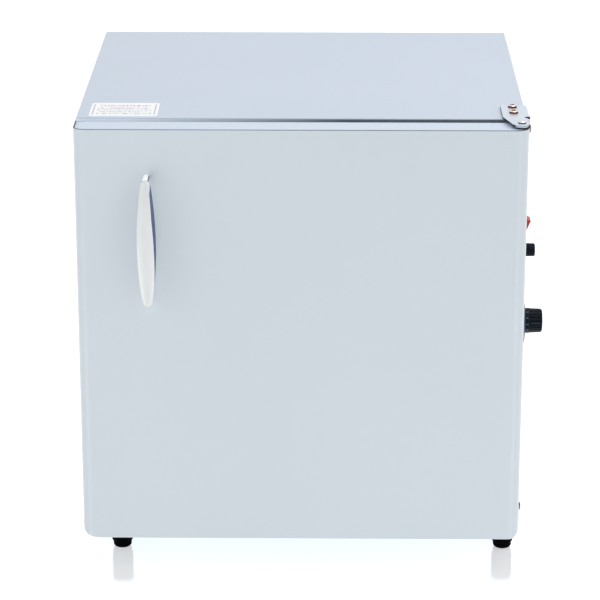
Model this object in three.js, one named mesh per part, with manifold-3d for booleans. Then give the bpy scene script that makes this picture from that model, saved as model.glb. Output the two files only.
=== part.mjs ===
// Warming cabinet: a small insulated cabinet with a heated chamber and one hinged door.
// Millimetres. X runs to the right, Y to the back and Z up. The pieces are laid out from the
// middle of the case's front face at floor level, and the whole is then centred on its footprint.
import * as THREE from 'three';
import { mergeVertices } from 'three/addons/utils/BufferGeometryUtils.js';
import Module from 'manifold-3d';

const wasm = await Module();
wasm.setup();

// Fits
const seat = 0.3; // gap left between two pieces that touch
const holePlay = 0.3; // radial gap of a screw, stud or stem in its hole
const runPlay = 0.3; // radial gap of a turning piece in its bore
const overrun = 4; // how far a cutting tool runs past a wall

// Case and base
const caseWidth = 450;
const caseHeight = 435.2;
const caseDepth = 378.5;
const caseSheet = 1;
const caseBend = 2; // outside radius of the folds along the top
const caseInnerBend = 0.5;
const frontReturn = 12;
const backReturn = 14;
const panSheet = 1.2;
const panClear = 2; // between the pan's rim and the liner's flange
const backSheet = 1;
const backMargin = 3; // case edge left bare round the back panel
const backFieldMargin = 46;
const backFieldRise = 1.5;
const backFieldSlope = 4;
const backCorner = 6;

// Feet
const footHeight = 36.3;
const footRadius = 10.4;
const footLowRadius = 9.2;
const footPadRadius = 5.6;
const footShoulder = 11.5; // height at which the foot widens
const footTaper = 1.5;
const footRound = 3.6;
const footStudRadius = 3;
const footStudReach = 8;
const footFrontInset = 18.5;
const footHingeInset = 21; // of the foot under the hinge bracket
const footBackInset = 16;
const footSideInset = 36;

// Chamber
const sideWall = 45;
const topWall = 42;
const floorWall = 36.7;
const backWall = 42;
const linerSheet = 1;
const linerCorner = 8;
const linerFlange = 6;
const collarDepth = 4.3;

// Door
const doorThickness = 34.3;
const doorGap = 3.4; // between the case's front face and the door's back edge
const doorDrop = 1.8; // door top below case top
const doorSill = 2.9; // door bottom below case bottom
const doorLowRound = 4; // its two lower corners, seen from the front
const doorEdge = 12; // radius of the front edges
const doorSheet = 1;
const doorReturn = 10;
const capLid = 2.2;
const capGroove = 0.5; // dark line round the cap's lid, inside the skin's edge
const capBevel = 3.6;
const capBevelRise = 1;
const capSkirt = 12;
const capWall = 2;
const panelSheet = 2;
const panelRecess = 8;
const panelRecessMargin = 48;
const panelRecessCorner = 14;
const gasketWidth = 14;
const gasketBulb = 9;
const gasketBase = 2;
const gasketFree = 0.35; // gap left to the case's front face

// Handle
const bladeLength = 130.5;
const bladeWidth = 17.6;
const bladeEndWidth = 7.5;
const bladeFullness = 0.78; // below one, the leaf widens faster from its ends
const bladeThickness = 5;
const bladeEndThickness = 3.2;
const bladeCrown = 1.6;
const bladeStandoff = 27; // from the door's face to the blade's outer face at its ends
const bladeBow = 3;
const bladeInset = 72.5; // blade's centre line from the door's left side
const bladeTopDrop = 45;
const postRadius = 2.6;
const postEndInset = 3.7;
const postSocket = 1.2;
const studRadius = 1.8;
const studReach = 7;
const bladeStationShares = [
  0.003, 0.012, 0.026, 0.05, 0.1, 0.17, 0.25, 0.33, 0.42, 0.5,
  0.58, 0.67, 0.75, 0.83, 0.9, 0.95, 0.974, 0.988, 0.997,
];
const bladeFrontShares = [-1, -0.7, -0.35, 0, 0.35, 0.7, 1];
const bladeBackShares = [0.86, -0.86];

// Hinges
const pivotInset = 7.2; // hinge axis in from the door's right side
const pivotSetback = 12.7; // hinge axis behind the door's front face
const bracketSheet = 2.3;
const bracketLeft = 27.3; // plate width to the left of its outer fold
const bracketBack = 44; // plate length on the case, from the case's front
const bracketFlange = 22.5;
const bracketBend = 0.9; // inside radius of its fold
const bracketFlangeStart = 3;
const bracketTongue = 10.3; // radius of the tongue round the pin
const bracketShoulder = 1.5; // where the plate narrows, ahead of the case
const lowTongue = 5.8; // half width of the bottom bracket's tongue
const lowFlange = 16;
const pocketReach = 9.6; // of the door's pocket for the bottom tongue, ahead of the pin
const pocketPlay = 0.5;
const lowBushFlange = 1.2;
const backingSheet = 3;
const backingMargin = 3;
const pinRadius = 3;
const pinReach = 17;
const pinHeadRadius = 3.8;
const pinHead = 0.9;
const bushWall = 1.7;
const bushLength = 12;
const bushFlangeRadius = 8;

// Screws
const screwRadius = 1.9;
const screwHeadRadius = 4.3;
const screwHead = 3.1;
const bracketScrewLength = 8;
const caseScrewLength = 5;
const bracketScrewInset = 15.7; // from the bracket's outer fold
const bracketScrewFront = 13;
const bracketScrewPitch = 22.5;
const flangeScrewDrop = 15; // below the case's top
const flangeScrewRise = 10.2; // above the case's bottom
const lowScrewBack = 37.5; // screw behind the foot's stud, in the bottom bracket
const flangeScrewBack = 20;
const caseScrewDrop = 6.5; // below the pan's rim
const caseScrewFront = 20;
const caseScrewBack = 24; // from the case's back
const headShares = [[0, 1], [0.5, 0.93], [0.85, 0.6], [1, 0.15], [1, 0]]; // of radius and height

// Controls on the right side, all on one line
const controlSetback = 50;
const switchDrop = 128.5; // heights below the case's top
const fuseDrop = 152;
const knobDrop = 229;
const dialRadius = 24.2;
const dialHeight = 5.2;
const dialSheet = 1;
const dialEdge = 1.6;
const thermostatDepth = 28;
const thermostatLength = 34;
const thermostatHeight = 40;
const bushingRadius = 5;
const shaftRadius = 3;
const shaftFlat = 0.8;
const shaftHidden = 9;
const knobRadius = 13.1;
const knobTipRadius = 11.6;
const knobLength = 18.4;
const knobSkirt = 5;
const knobFlute = 0.9;
const knobDome = 1.8;
const knobLift = 0.5;
const knobBore = 12;
const bezelLength = 28.5;
const bezelWidth = 22;
const bezelHeight = 2;
const bezelLip = 1.6;
const switchBody = 20;
const switchInset = 1.2; // switch body smaller than its bezel, each side
const rockerRadius = 12.4;
const rockerWidth = 17;
const rockerHub = 3;
const rockerGap = 0.45;
const rockerPivotHeight = 1.8;
const rockerTilt = 12; // degrees, either way
const rockerFaceAngle = 30; // degrees, face edge above the pivot's plane
const rockerDish = 1.2;
const fuseFlangeRadius = 7.2;
const fuseFlange = 2.4;
const fuseBarrelRadius = 6;
const fuseBarrel = 30;
const fuseBore = 4.6;
const fuseCapRadius = 6.6;
const fuseCapTipRadius = 6.2;
const fuseCapLength = 11.8;
const fuseCapFlute = 0.45;
const fuseStem = 5;
const fuseTubeRadius = 3;
const fuseTubeLength = 20;
const fuseNutRadius = 9;
const fuseNut = 3.4;

// Heater
const heaterTube = 3.25; // radius
const heaterLift = 15; // tube's centre above the chamber floor
const heaterSideInset = 53; // outer runs' centres from the chamber's side walls
const heaterFrontInset = 66;
const heaterBackInset = 70;
const heaterTail = 20; // terminal length behind the chamber
const supportSheet = 1.5;
const supportInset = 130;
const supportMargin = 28;
const coverSheet = 1;
const coverHeight = 36;
const coverSideGap = 15;
const coverFrontInset = 20;
const coverBackInset = 14;
const slotLength = 60;
const slotWidth = 5;
const slotPitchX = 78;
const slotPitchY = 36;
const slotMargin = 26;

// Shelves
const railSheet = 1.2;
const railLedge = 12;
const railLip = 6;
const railInset = 30;
const railFoot = 30;
const railHead = 16;
const shelfRim = 2.5; // rod radii
const shelfWire = 1.5;
const shelfPitch = 32;
const shelfSidePlay = 2;
const shelfFrontInset = 2;
const shelfBackPlay = 3;
const crossRodShares = [1 / 3, 2 / 3];

// Sensor, cut-out and wiring pieces
const capillaryRadius = 1;
const capillaryBend = 6;
const capillaryHoleRadius = 2;
const capillaryOffset = 14; // behind the thermostat's axis
const capillaryStand = 7; // out from the chamber wall
const capillaryDrop = 33; // below the chamber's ceiling
const bulbRadius = 3.2;
const bulbLength = 80;
const bulbFromWall = 8;
const bulbFront = 75;
const clipWidth = 8;
const clipHeight = 12;
const clipWrap = 2.4;
const cutoutRadius = 8;
const cutoutDepth = 9;
const cutoutLug = 3;
const cutoutRise = 60; // above the thermostat's axis
const blockWidth = 16;
const blockDepth = 20;
const blockHeight = 34;
const blockRise = 42; // above the case's bottom edge
const terminalRadius = 2.7;
const terminalShares = [1 / 6, 3 / 6, 5 / 6];
const glandRadius = 9;
const glandFlange = 3;
const glandNeck = 6.5;
const glandBore = 4;
const glandInset = 24; // from the case's right side
const glandRise = 94;
const pocketRoom = 6; // insulation cut back round what it holds

// Facets
const roundSides = 24;
const dialSides = 28;
const midSides = 16;
const smallSides = 12;
const wireSides = 6;
const cornerSteps = 4;
const edgeSteps = 5;
const tubeSides = 8;
const bendSteps = 8;
const knobFlutes = 14;
const fuseCapFlutes = 10;
const nutSides = 6;
const weld = 1e-4;

// Worked-out planes
const caseHalf = caseWidth / 2;
const caseBottom = footHeight;
const caseTop = caseBottom + caseHeight;
const innerHalf = caseHalf - caseSheet;
const fillHalf = innerHalf - seat;
const linerHalf = caseHalf - sideWall;
const linerFloor = caseBottom + floorWall;
const linerCeiling = caseTop - topWall;
const linerFront = collarDepth + seat;
const linerBack = caseDepth - backWall;
const wallHalf = linerHalf - linerSheet;
const chamberFloor = linerFloor + linerSheet;
const chamberCeiling = linerCeiling - linerSheet;
const chamberBack = linerBack - linerSheet;
const fillFront = linerFront + linerSheet + seat;
const fillBack = caseDepth - caseSheet - seat;
const fillTop = caseTop - caseSheet - seat;
const panRim = linerFloor - linerFlange - panClear;
const doorHalf = caseHalf; // the door covers the case's full width
const doorTop = caseTop - doorDrop;
const doorBottom = caseBottom - doorSill;
const doorBackY = -doorGap;
const doorFrontY = doorBackY - doorThickness;
const pivotX = doorHalf - pivotInset;
const pivotY = doorFrontY + pivotSetback;
const foldX = caseHalf + seat + bracketSheet;
const bracketX = foldX - bracketLeft;
const bracketScrewX = foldX - bracketScrewInset;
const caseScrewZ = panRim - caseScrewDrop;
const switchZ = caseTop - switchDrop;
const fuseZ = caseTop - fuseDrop;
const knobZ = caseTop - knobDrop;
const thermostatX = fillHalf - thermostatDepth;
const capillaryY = controlSetback + capillaryOffset;
const capillaryZ = chamberCeiling - capillaryDrop;
const coverTop = chamberFloor + seat + coverHeight;
const railBottom = coverTop + railFoot;
const railLevelShares = [0.16, 0.72];
const runShares = [-1.5, -0.5, 0.5, 1.5];
const heaterRunPitch = (2 * wallHalf - 2 * heaterSideInset) / (runShares.length - 1);
const tailSpots = [runShares[0], runShares[3]].map((share) => share * heaterRunPitch);
const railTop = capillaryZ - bulbRadius - railHead;
const degree = Math.PI / 180;
const upward = 90; // degrees
const downward = 270;

// Materials
function finish(color, metalness, roughness) {
  return new THREE.MeshStandardMaterial({ color, metalness, roughness });
}

const steel = finish(0xcdd8e2, 0.55, 0.42);
const innerSteel = finish(0xc9ccce, 0.85, 0.35);
const plate = finish(0xd5dfec, 0.6, 0.35);
const brightSteel = finish(0xe4e6e8, 0.9, 0.25);
const goldZinc = finish(0xc9a86a, 0.85, 0.35);
const doorPaint = finish(0xcbd4db, 0.35, 0.45);
const capPlastic = finish(0xd1dbe8, 0.0, 0.5);
const collarPlastic = finish(0xd9dde0, 0.0, 0.55);
const wool = finish(0xe9dfc0, 0.0, 0.95);
const sealRubber = finish(0x5b6167, 0.0, 0.7);
const blackRubber = finish(0x0b0d10, 0.0, 0.75);
const blackPlastic = finish(0x14181d, 0.0, 0.45);
const redPlastic = finish(0xc2312f, 0.0, 0.35);
const handleMetal = finish(0xdcdedf, 0.75, 0.38);
const bushNylon = finish(0x17171a, 0.0, 0.6);
const ivoryPlastic = finish(0xeae6dc, 0.0, 0.5);
const copper = finish(0xb87e5a, 0.9, 0.4);
const glassTube = finish(0xdfe8ea, 0.1, 0.15);

// Turns an outline's plane (u, v) and its run to the model's axes
const runFrames = {
  x: new THREE.Matrix4().makeBasis(
    new THREE.Vector3(0, 1, 0), new THREE.Vector3(0, 0, 1), new THREE.Vector3(1, 0, 0)),
  y: new THREE.Matrix4().makeBasis(
    new THREE.Vector3(1, 0, 0), new THREE.Vector3(0, 0, 1), new THREE.Vector3(0, -1, 0)),
  z: new THREE.Matrix4(),
};

// An outline of [u, v] points run straight from one place to another along an axis:
// (y, z) along x, (x, z) along y and (x, y) along z
function prism(axis, outline, from, to, holes = []) {
  const shape = new THREE.Shape(outline.map(([u, v]) => new THREE.Vector2(u, v)));
  shape.holes = holes.map((hole) => new THREE.Path(hole.map(([u, v]) => new THREE.Vector2(u, v))));
  const geometry = new THREE.ExtrudeGeometry(shape, { depth: to - from, bevelEnabled: false });
  geometry.applyMatrix4(runFrames[axis]);
  const start = { x: [from, 0, 0], y: [0, to, 0], z: [0, 0, from] }[axis];
  geometry.translate(...start);
  return geometry;
}

function block(x0, x1, y0, y1, z0, z1) {
  const geometry = new THREE.BoxGeometry(x1 - x0, y1 - y0, z1 - z0);
  geometry.translate((x0 + x1) / 2, (y0 + y1) / 2, (z0 + z1) / 2);
  return geometry;
}

// A closed profile of [radius, height] points turned about an axis through a centre
function turned(axis, profile, centre = [0, 0, 0], sides = roundSides) {
  const points = profile.map(([radius, height]) => new THREE.Vector2(radius, height));
  const geometry = new THREE.LatheGeometry(points, sides);
  if (axis === 'z') geometry.rotateX(Math.PI / 2);
  if (axis === 'x') geometry.rotateZ(-Math.PI / 2);
  geometry.translate(...centre);
  return geometry;
}

// A plain round bar along an axis, from one place to another
function bar(axis, radius, from, to, centre, sides = roundSides) {
  return turned(axis, [[0, from], [radius, from], [radius, to], [0, to]], centre, sides);
}

// Rings of equal point count joined into one closed body, with a fan at each end
function loft(rings) {
  const count = rings[0].length;
  const positions = rings.flat().flatMap((point) => [point.x, point.y, point.z]);
  const indices = [];
  for (let ring = 0; ring < rings.length - 1; ring += 1) {
    for (let i = 0; i < count; i += 1) {
      const next = (i + 1) % count;
      const low = ring * count;
      const high = low + count;
      indices.push(low + i, low + next, high + next);
      indices.push(low + i, high + next, high + i);
    }
  }
  [0, rings.length - 1].forEach((ring, end) => {
    const middle = new THREE.Vector3();
    rings[ring].forEach((point) => middle.add(point));
    middle.divideScalar(count);
    const hub = positions.length / 3;
    positions.push(middle.x, middle.y, middle.z);
    for (let i = 0; i < count; i += 1) {
      const a = ring * count + i;
      const b = ring * count + ((i + 1) % count);
      indices.push(...(end === 0 ? [hub, b, a] : [hub, a, b]));
    }
  });
  const geometry = new THREE.BufferGeometry();
  geometry.setAttribute('position', new THREE.Float32BufferAttribute(positions, 3));
  geometry.setIndex(indices);
  return geometry;
}

// The closed mesh as a solid whose faces point out
function toSolid(geometry) {
  const bare = geometry.clone();
  bare.deleteAttribute('normal');
  bare.deleteAttribute('uv');
  const welded = mergeVertices(bare, weld);
  const index = welded.index.array;
  const place = welded.attributes.position;
  const corner = (i) => new THREE.Vector3().fromBufferAttribute(place, i);
  const triangles = [];
  let volume = 0;
  for (let i = 0; i < index.length; i += 3) {
    const [a, b, c] = [index[i], index[i + 1], index[i + 2]];
    if (a !== b && b !== c && c !== a) {
      triangles.push([a, b, c]);
      volume += corner(a).dot(corner(b).cross(corner(c)));
    }
  }
  const ordered = volume < 0 ? triangles.map(([a, b, c]) => [a, c, b]) : triangles;
  return new wasm.Manifold(new wasm.Mesh({
    numProp: 3,
    vertProperties: new Float32Array(place.array),
    triVerts: new Uint32Array(ordered.flat()),
  }));
}

function toGeometry(solid) {
  const mesh = solid.getMesh();
  const geometry = new THREE.BufferGeometry();
  geometry.setAttribute('position', new THREE.Float32BufferAttribute(mesh.vertProperties, 3));
  geometry.setIndex([...mesh.triVerts]);
  geometry.computeVertexNormals();
  return geometry;
}

function join(...parts) {
  return toGeometry(parts.map(toSolid).reduce((sum, part) => sum.add(part)));
}

function carve(body, ...tools) {
  return toGeometry(tools.map(toSolid).reduce((rest, tool) => rest.subtract(tool), toSolid(body)));
}

function rectangle(u0, u1, v0, v1) {
  return [[u0, v0], [u1, v0], [u1, v1], [u0, v1]];
}

// The points of an arc about (u, v), angles in degrees
function arc(u, v, radius, from, to, steps = cornerSteps) {
  return Array.from({ length: steps + 1 }, (_, i) => {
    const angle = (from + ((to - from) * i) / steps) * degree;
    return [u + radius * Math.cos(angle), v + radius * Math.sin(angle)];
  });
}

function roundedRectangle(u0, u1, v0, v1, radius) {
  return [
    ...arc(u0 + radius, v0 + radius, radius, 180, 270),
    ...arc(u1 - radius, v0 + radius, radius, 270, 360),
    ...arc(u1 - radius, v1 - radius, radius, 0, 90),
    ...arc(u0 + radius, v1 - radius, radius, 90, 180),
  ];
}

const cabinet = new THREE.Group();
const door = new THREE.Group();
cabinet.add(door);

// Adds a named piece to a group, at a place and turn of its own where it has one
function addPiece(group, name, geometry, material, place = [0, 0, 0], turn = [0, 0, 0]) {
  const mesh = new THREE.Mesh(toGeometry(toSolid(geometry)), material);
  mesh.name = name;
  mesh.position.set(...place);
  mesh.rotation.set(...turn);
  group.add(mesh);
}

// Outline of the case's front view: square at the bottom, folded round along the top
function caseOutline(inset) {
  const half = caseHalf - inset;
  const top = caseTop - inset;
  const radius = Math.max(caseBend - inset, caseInnerBend);
  return [
    [-half, caseBottom - (inset > 0 ? overrun : 0)],
    [half, caseBottom - (inset > 0 ? overrun : 0)],
    ...arc(half - radius, top - radius, radius, 0, 90),
    ...arc(-half + radius, top - radius, radius, 90, 180),
  ];
}

// Y places of the screws through a bracket's plate and through the case's sides
const bracketScrewSpots = [0, 1].map((i) => bracketScrewFront + i * bracketScrewPitch);
const caseScrewSpots = [caseScrewFront, caseDepth - caseScrewBack];

function screwHole(axis, centre) {
  return bar(axis, screwRadius + holePlay, -overrun, overrun, centre, smallSides);
}

function outerCase() {
  const shell = prism('y', caseOutline(0), 0, caseDepth);
  const inside = prism('y', caseOutline(caseSheet), caseSheet, caseDepth - caseSheet);
  const mouth = (rim) => rectangle(-caseHalf + rim, caseHalf - rim, caseBottom - overrun, caseTop - rim);
  const front = prism('y', mouth(frontReturn), -overrun, caseSheet + overrun);
  const back = prism('y', mouth(backReturn), caseDepth - caseSheet - overrun, caseDepth + overrun);
  const topHoles = bracketScrewSpots.map((y) => screwHole('z', [bracketScrewX, y, caseTop]));
  const flangeHoles = [
    screwHole('x', [caseHalf, flangeScrewBack, caseTop - flangeScrewDrop]),
    screwHole('x', [caseHalf, flangeScrewBack, caseBottom + flangeScrewRise]),
  ];
  const sideHoles = caseScrewSpots.flatMap((y) => [
    screwHole('x', [caseHalf, y, caseScrewZ]),
    screwHole('x', [-caseHalf, y, caseScrewZ]),
  ]);
  const controlHoles = [
    bar('x', bushingRadius + holePlay, -overrun, overrun, [caseHalf, controlSetback, knobZ], midSides),
    bar('x', fuseBarrelRadius + holePlay, -overrun, overrun, [caseHalf, controlSetback, fuseZ], midSides),
    block(caseHalf - overrun, caseHalf + overrun, ...switchBodySpan(holePlay)),
  ];
  return carve(shell, inside, front, back, ...topHoles, ...flangeHoles, ...sideHoles, ...controlHoles);
}

// Y and Z limits of the switch body, grown by a margin
function switchBodySpan(margin) {
  const across = bezelWidth / 2 - switchInset + margin;
  const along = bezelLength / 2 - switchInset + margin;
  return [controlSetback - across, controlSetback + across, switchZ - along, switchZ + along];
}

function frontCollar() {
  const mouth = roundedRectangle(
    -wallHalf, wallHalf, chamberFloor, chamberCeiling, linerCorner - linerSheet);
  const faceHalf = caseHalf - frontReturn - seat;
  const face = rectangle(-faceHalf, faceHalf, caseBottom, caseTop - frontReturn - seat);
  const rebate = rectangle(-fillHalf, fillHalf, caseBottom, fillTop);
  return join(
    prism('y', face, 0, collarDepth, [mouth]),
    prism('y', rebate, caseSheet + seat, collarDepth, [mouth]),
  );
}

// Places of the feet: the right front one stands under the hinge bracket
const footSpots = {
  foot_front_left: [-caseHalf + footSideInset, footFrontInset],
  foot_front_right: [bracketScrewX, footHingeInset],
  foot_back_left: [-caseHalf + footSideInset, caseDepth - footBackInset],
  foot_back_right: [caseHalf - footSideInset, caseDepth - footBackInset],
};

function basePanel() {
  const pan = block(-fillHalf, fillHalf, linerFront, fillBack, caseBottom, panRim);
  const hollow = block(
    -fillHalf + panSheet, fillHalf - panSheet, linerFront + panSheet, fillBack - panSheet,
    caseBottom + panSheet, panRim + overrun);
  const studHoles = Object.values(footSpots).map(([x, y]) =>
    bar('z', footStudRadius + holePlay, -overrun, overrun, [x, y, caseBottom], smallSides));
  const plateHole = screwHole('z', [bracketScrewX, lowScrewBack, caseBottom]);
  const flangeHole = screwHole('x', [fillHalf, flangeScrewBack, caseBottom + flangeScrewRise]);
  const sideHoles = caseScrewSpots.flatMap((y) => [
    screwHole('x', [fillHalf, y, caseScrewZ]),
    screwHole('x', [-fillHalf, y, caseScrewZ]),
  ]);
  return carve(pan, hollow, ...studHoles, plateHole, flangeHole, ...sideHoles);
}

const glandX = caseHalf - glandInset;
const glandZ = caseBottom + glandRise;

// A pressed field: a low frustum on the panel's plane
function field(margin, startY, rise) {
  const ring = (inset, y) => roundedRectangle(
    -caseHalf + margin + inset, caseHalf - margin - inset,
    caseBottom + margin + inset, caseTop - margin - inset, backCorner,
  ).map(([x, z]) => new THREE.Vector3(x, y, z));
  return loft([ring(0, startY), ring(backFieldSlope, startY + rise)]);
}

function backPanel() {
  const near = caseDepth + seat;
  const far = near + backSheet;
  const outline = rectangle(
    -caseHalf + backMargin, caseHalf - backMargin, caseBottom + backMargin, caseTop - backMargin);
  const raised = join(prism('y', outline, near, far), field(backFieldMargin, far - backSheet / 2,
    backFieldRise + backSheet / 2));
  const pressed = field(backFieldMargin + backSheet, near - backSheet / 2, backFieldRise + backSheet / 2);
  const outlet = bar('y', glandNeck + holePlay, near - overrun, far + overrun, [glandX, 0, glandZ]);
  return carve(raised, pressed, outlet);
}

function innerChamber() {
  const box = prism('y', roundedRectangle(-linerHalf, linerHalf, linerFloor, linerCeiling, linerCorner),
    linerFront, linerBack);
  const rim = prism('y', rectangle(-linerHalf - linerFlange, linerHalf + linerFlange,
    linerFloor - linerFlange, linerCeiling + linerFlange), linerFront, linerFront + linerSheet);
  const room = prism('y', roundedRectangle(-wallHalf, wallHalf, chamberFloor, chamberCeiling,
    linerCorner - linerSheet), linerFront - overrun, chamberBack);
  const heaterHoles = tailSpots.map((x) => bar('y', heaterTube + holePlay, chamberBack - overrun,
    linerBack + overrun, [x, 0, chamberFloor + heaterLift], smallSides));
  const sensorHole = bar('x', capillaryHoleRadius, wallHalf - overrun, linerHalf + overrun,
    [0, capillaryY, capillaryZ], smallSides);
  return carve(join(box, rim), room, ...heaterHoles, sensorHole);
}

// Insulation: the right slab leaves a pocket behind the controls and one at the cord gland
const controlPocket = [
  controlSetback - thermostatLength / 2 - pocketRoom, controlSetback + thermostatLength / 2 + pocketRoom,
  knobZ - thermostatHeight / 2 - pocketRoom, capillaryZ + pocketRoom,
];

function insulationSide(side) {
  const slab = block(
    ...[side * (linerHalf + seat), side * fillHalf].sort((a, b) => a - b),
    fillFront, fillBack, linerFloor, linerCeiling - seat);
  if (side < 0) return slab;
  const controls = block(linerHalf - overrun, caseHalf, ...controlPocket);
  const wiring = block(linerHalf + pocketRoom, caseHalf,
    fillBack - blockDepth - pocketRoom, fillBack + overrun,
    linerFloor - overrun, glandZ + glandRadius + pocketRoom);
  return carve(slab, controls, wiring);
}

// Corner room for the hinge bracket's screws and backing plate
const cornerX = bracketX - backingMargin - pocketRoom;
const cornerBack = bracketBack + backingMargin + pocketRoom;

function insulationTop() {
  const slab = block(-fillHalf, fillHalf, fillFront, fillBack, linerCeiling + seat, fillTop);
  const corner = block(cornerX, caseHalf, -overrun, cornerBack,
    caseTop - bracketFlange, caseTop);
  return carve(slab, corner);
}

function insulationBottom() {
  const sideRelief = caseScrewLength + pocketRoom;
  const slab = block(-fillHalf + sideRelief, fillHalf - sideRelief, fillFront + panSheet,
    fillBack - panSheet - seat, caseBottom + panSheet + seat, linerFloor - seat);
  const corner = block(cornerX, caseHalf, -overrun, cornerBack, caseBottom, caseBottom + bracketFlange);
  const studTop = caseBottom + footStudReach + pocketRoom;
  const studRooms = Object.values(footSpots).map(([x, y]) =>
    bar('z', footStudRadius + pocketRoom, caseBottom, studTop, [x, y, 0], smallSides));
  return carve(slab, corner, ...studRooms);
}

function insulationBack() {
  const slab = block(-linerHalf, linerHalf, linerBack + seat, fillBack, linerFloor, linerCeiling - seat);
  const terminalRooms = tailSpots.map((x) => bar('y', heaterTube + pocketRoom, linerBack - overrun,
    linerBack + heaterTail + pocketRoom, [x, 0, chamberFloor + heaterLift], smallSides));
  return carve(slab, ...terminalRooms);
}

// A run of straight stretches through the points, with each corner rounded
function roundedRoute(points, radius) {
  const route = new THREE.CurvePath();
  const corners = points.map((point) => new THREE.Vector3(...point));
  let from = corners[0];
  for (let i = 1; i < corners.length - 1; i += 1) {
    const entry = corners[i].clone().add(
      corners[i - 1].clone().sub(corners[i]).setLength(radius));
    const exit = corners[i].clone().add(
      corners[i + 1].clone().sub(corners[i]).setLength(radius));
    route.add(new THREE.LineCurve3(from, entry));
    route.add(new THREE.QuadraticBezierCurve3(entry, corners[i], exit));
    from = exit;
  }
  route.add(new THREE.LineCurve3(from, corners[corners.length - 1]));
  return route;
}

// A half circle in the horizontal plane, from one run of the element to the next
class ReturnBend extends THREE.Curve {
  constructor(centre, radius, front) {
    super();
    this.centre = centre;
    this.radius = radius;
    this.reach = front ? -1 : 1;
  }

  getPoint(t, target = new THREE.Vector3()) {
    const angle = Math.PI * t;
    return target.set(
      this.centre.x - this.radius * Math.cos(angle),
      this.centre.y + this.reach * this.radius * Math.sin(angle),
      this.centre.z,
    );
  }
}

// A round tube along a route: one step on each straight, several round each bend
function tube(route, radius, stepsRound, sides = tubeSides) {
  const stations = route.curves.flatMap((curve, piece) => {
    const steps = curve.isLineCurve3 ? 1 : stepsRound;
    const shares = Array.from({ length: steps + 1 }, (_, i) => i / steps);
    return shares.slice(piece === 0 ? 0 : 1).map((share) => (
      { point: curve.getPoint(share), along: curve.getTangent(share) }));
  });
  const first = stations[0].along;
  let side = new THREE.Vector3(first.y, first.z, first.x);
  return loft(stations.map(({ point, along }) => {
    side = side.clone().addScaledVector(along, -side.dot(along)).normalize();
    const across = along.clone().cross(side);
    return Array.from({ length: sides }, (_, i) => {
      const angle = (2 * Math.PI * i) / sides;
      return point.clone()
        .addScaledVector(side, radius * Math.cos(angle))
        .addScaledVector(across, radius * Math.sin(angle));
    });
  }));
}

// Sheathed element: four runs and three return bends, with both tails out through the back
function heaterElement() {
  const z = chamberFloor + heaterLift;
  const runs = runShares.map((share) => share * heaterRunPitch);
  const bend = heaterRunPitch / 2;
  const frontY = heaterFrontInset + bend;
  const backY = linerBack - heaterBackInset - bend;
  const tailY = linerBack + heaterTail;
  const at = (x, y) => new THREE.Vector3(x, y, z);
  const route = new THREE.CurvePath();
  route.add(new THREE.LineCurve3(at(runs[0], tailY), at(runs[0], frontY)));
  route.add(new ReturnBend(at((runs[0] + runs[1]) / 2, frontY), bend, true));
  route.add(new THREE.LineCurve3(at(runs[1], frontY), at(runs[1], backY)));
  route.add(new ReturnBend(at((runs[1] + runs[2]) / 2, backY), bend, false));
  route.add(new THREE.LineCurve3(at(runs[2], backY), at(runs[2], frontY)));
  route.add(new ReturnBend(at((runs[2] + runs[3]) / 2, frontY), bend, true));
  route.add(new THREE.LineCurve3(at(runs[3], frontY), at(runs[3], tailY)));
  return tube(route, heaterTube, bendSteps);
}

// Upright strip on the chamber floor with a round notch under each run
function heaterSupport() {
  const reach = tailSpots[1] + supportMargin;
  const top = chamberFloor + heaterLift;
  const back = supportInset + supportSheet;
  const strip = block(-reach, reach, supportInset, back, chamberFloor + seat, top);
  const notches = runShares.map((share) => bar('y', heaterTube + seat,
    supportInset - overrun, back + overrun, [share * heaterRunPitch, 0, top], smallSides));
  return carve(strip, ...notches);
}

// Inverted tray over the element, slotted so that warm air rises through it
function heaterCover() {
  const half = wallHalf - coverSideGap;
  const front = coverFrontInset;
  const back = chamberBack - coverBackInset;
  const tray = block(-half, half, front, back, chamberFloor + seat, coverTop);
  const under = block(-half + coverSheet, half - coverSheet, front - overrun, back + overrun,
    chamberFloor - overrun, coverTop - coverSheet);
  const columns = Math.floor((2 * half - 2 * slotMargin) / slotPitchX) + 1;
  const rows = Math.floor((back - front - 2 * slotMargin) / slotPitchY) + 1;
  const middleY = (front + back) / 2;
  const slots = [];
  for (let column = 0; column < columns; column += 1) {
    for (let row = 0; row < rows; row += 1) {
      const x = (column - (columns - 1) / 2) * slotPitchX;
      const y = middleY + (row - (rows - 1) / 2) * slotPitchY;
      slots.push(block(x - slotLength / 2, x + slotLength / 2, y - slotWidth / 2, y + slotWidth / 2,
        coverTop - overrun, coverTop + overrun));
    }
  }
  return carve(tray, under, ...slots);
}

const railLevels = railLevelShares.map((share) => railBottom + share * (railTop - railBottom));

// Pressed rail: an upright web with a ledge and a front lip at each level
function shelfRail(side) {
  const wall = side * (wallHalf - seat);
  const inner = wall - side * railSheet;
  const tip = wall - side * railLedge;
  const front = railInset;
  const back = chamberBack - railInset;
  const span = (a, b) => [Math.min(a, b), Math.max(a, b)];
  const web = block(...span(wall, inner), front, back, railBottom, railTop);
  const ledges = railLevels.flatMap((level) => [
    block(...span(wall, tip), front, back, level - railSheet, level),
    block(...span(wall, tip), front, front + railSheet, level - railSheet, level + railLip),
  ]);
  return join(web, ...ledges);
}

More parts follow.
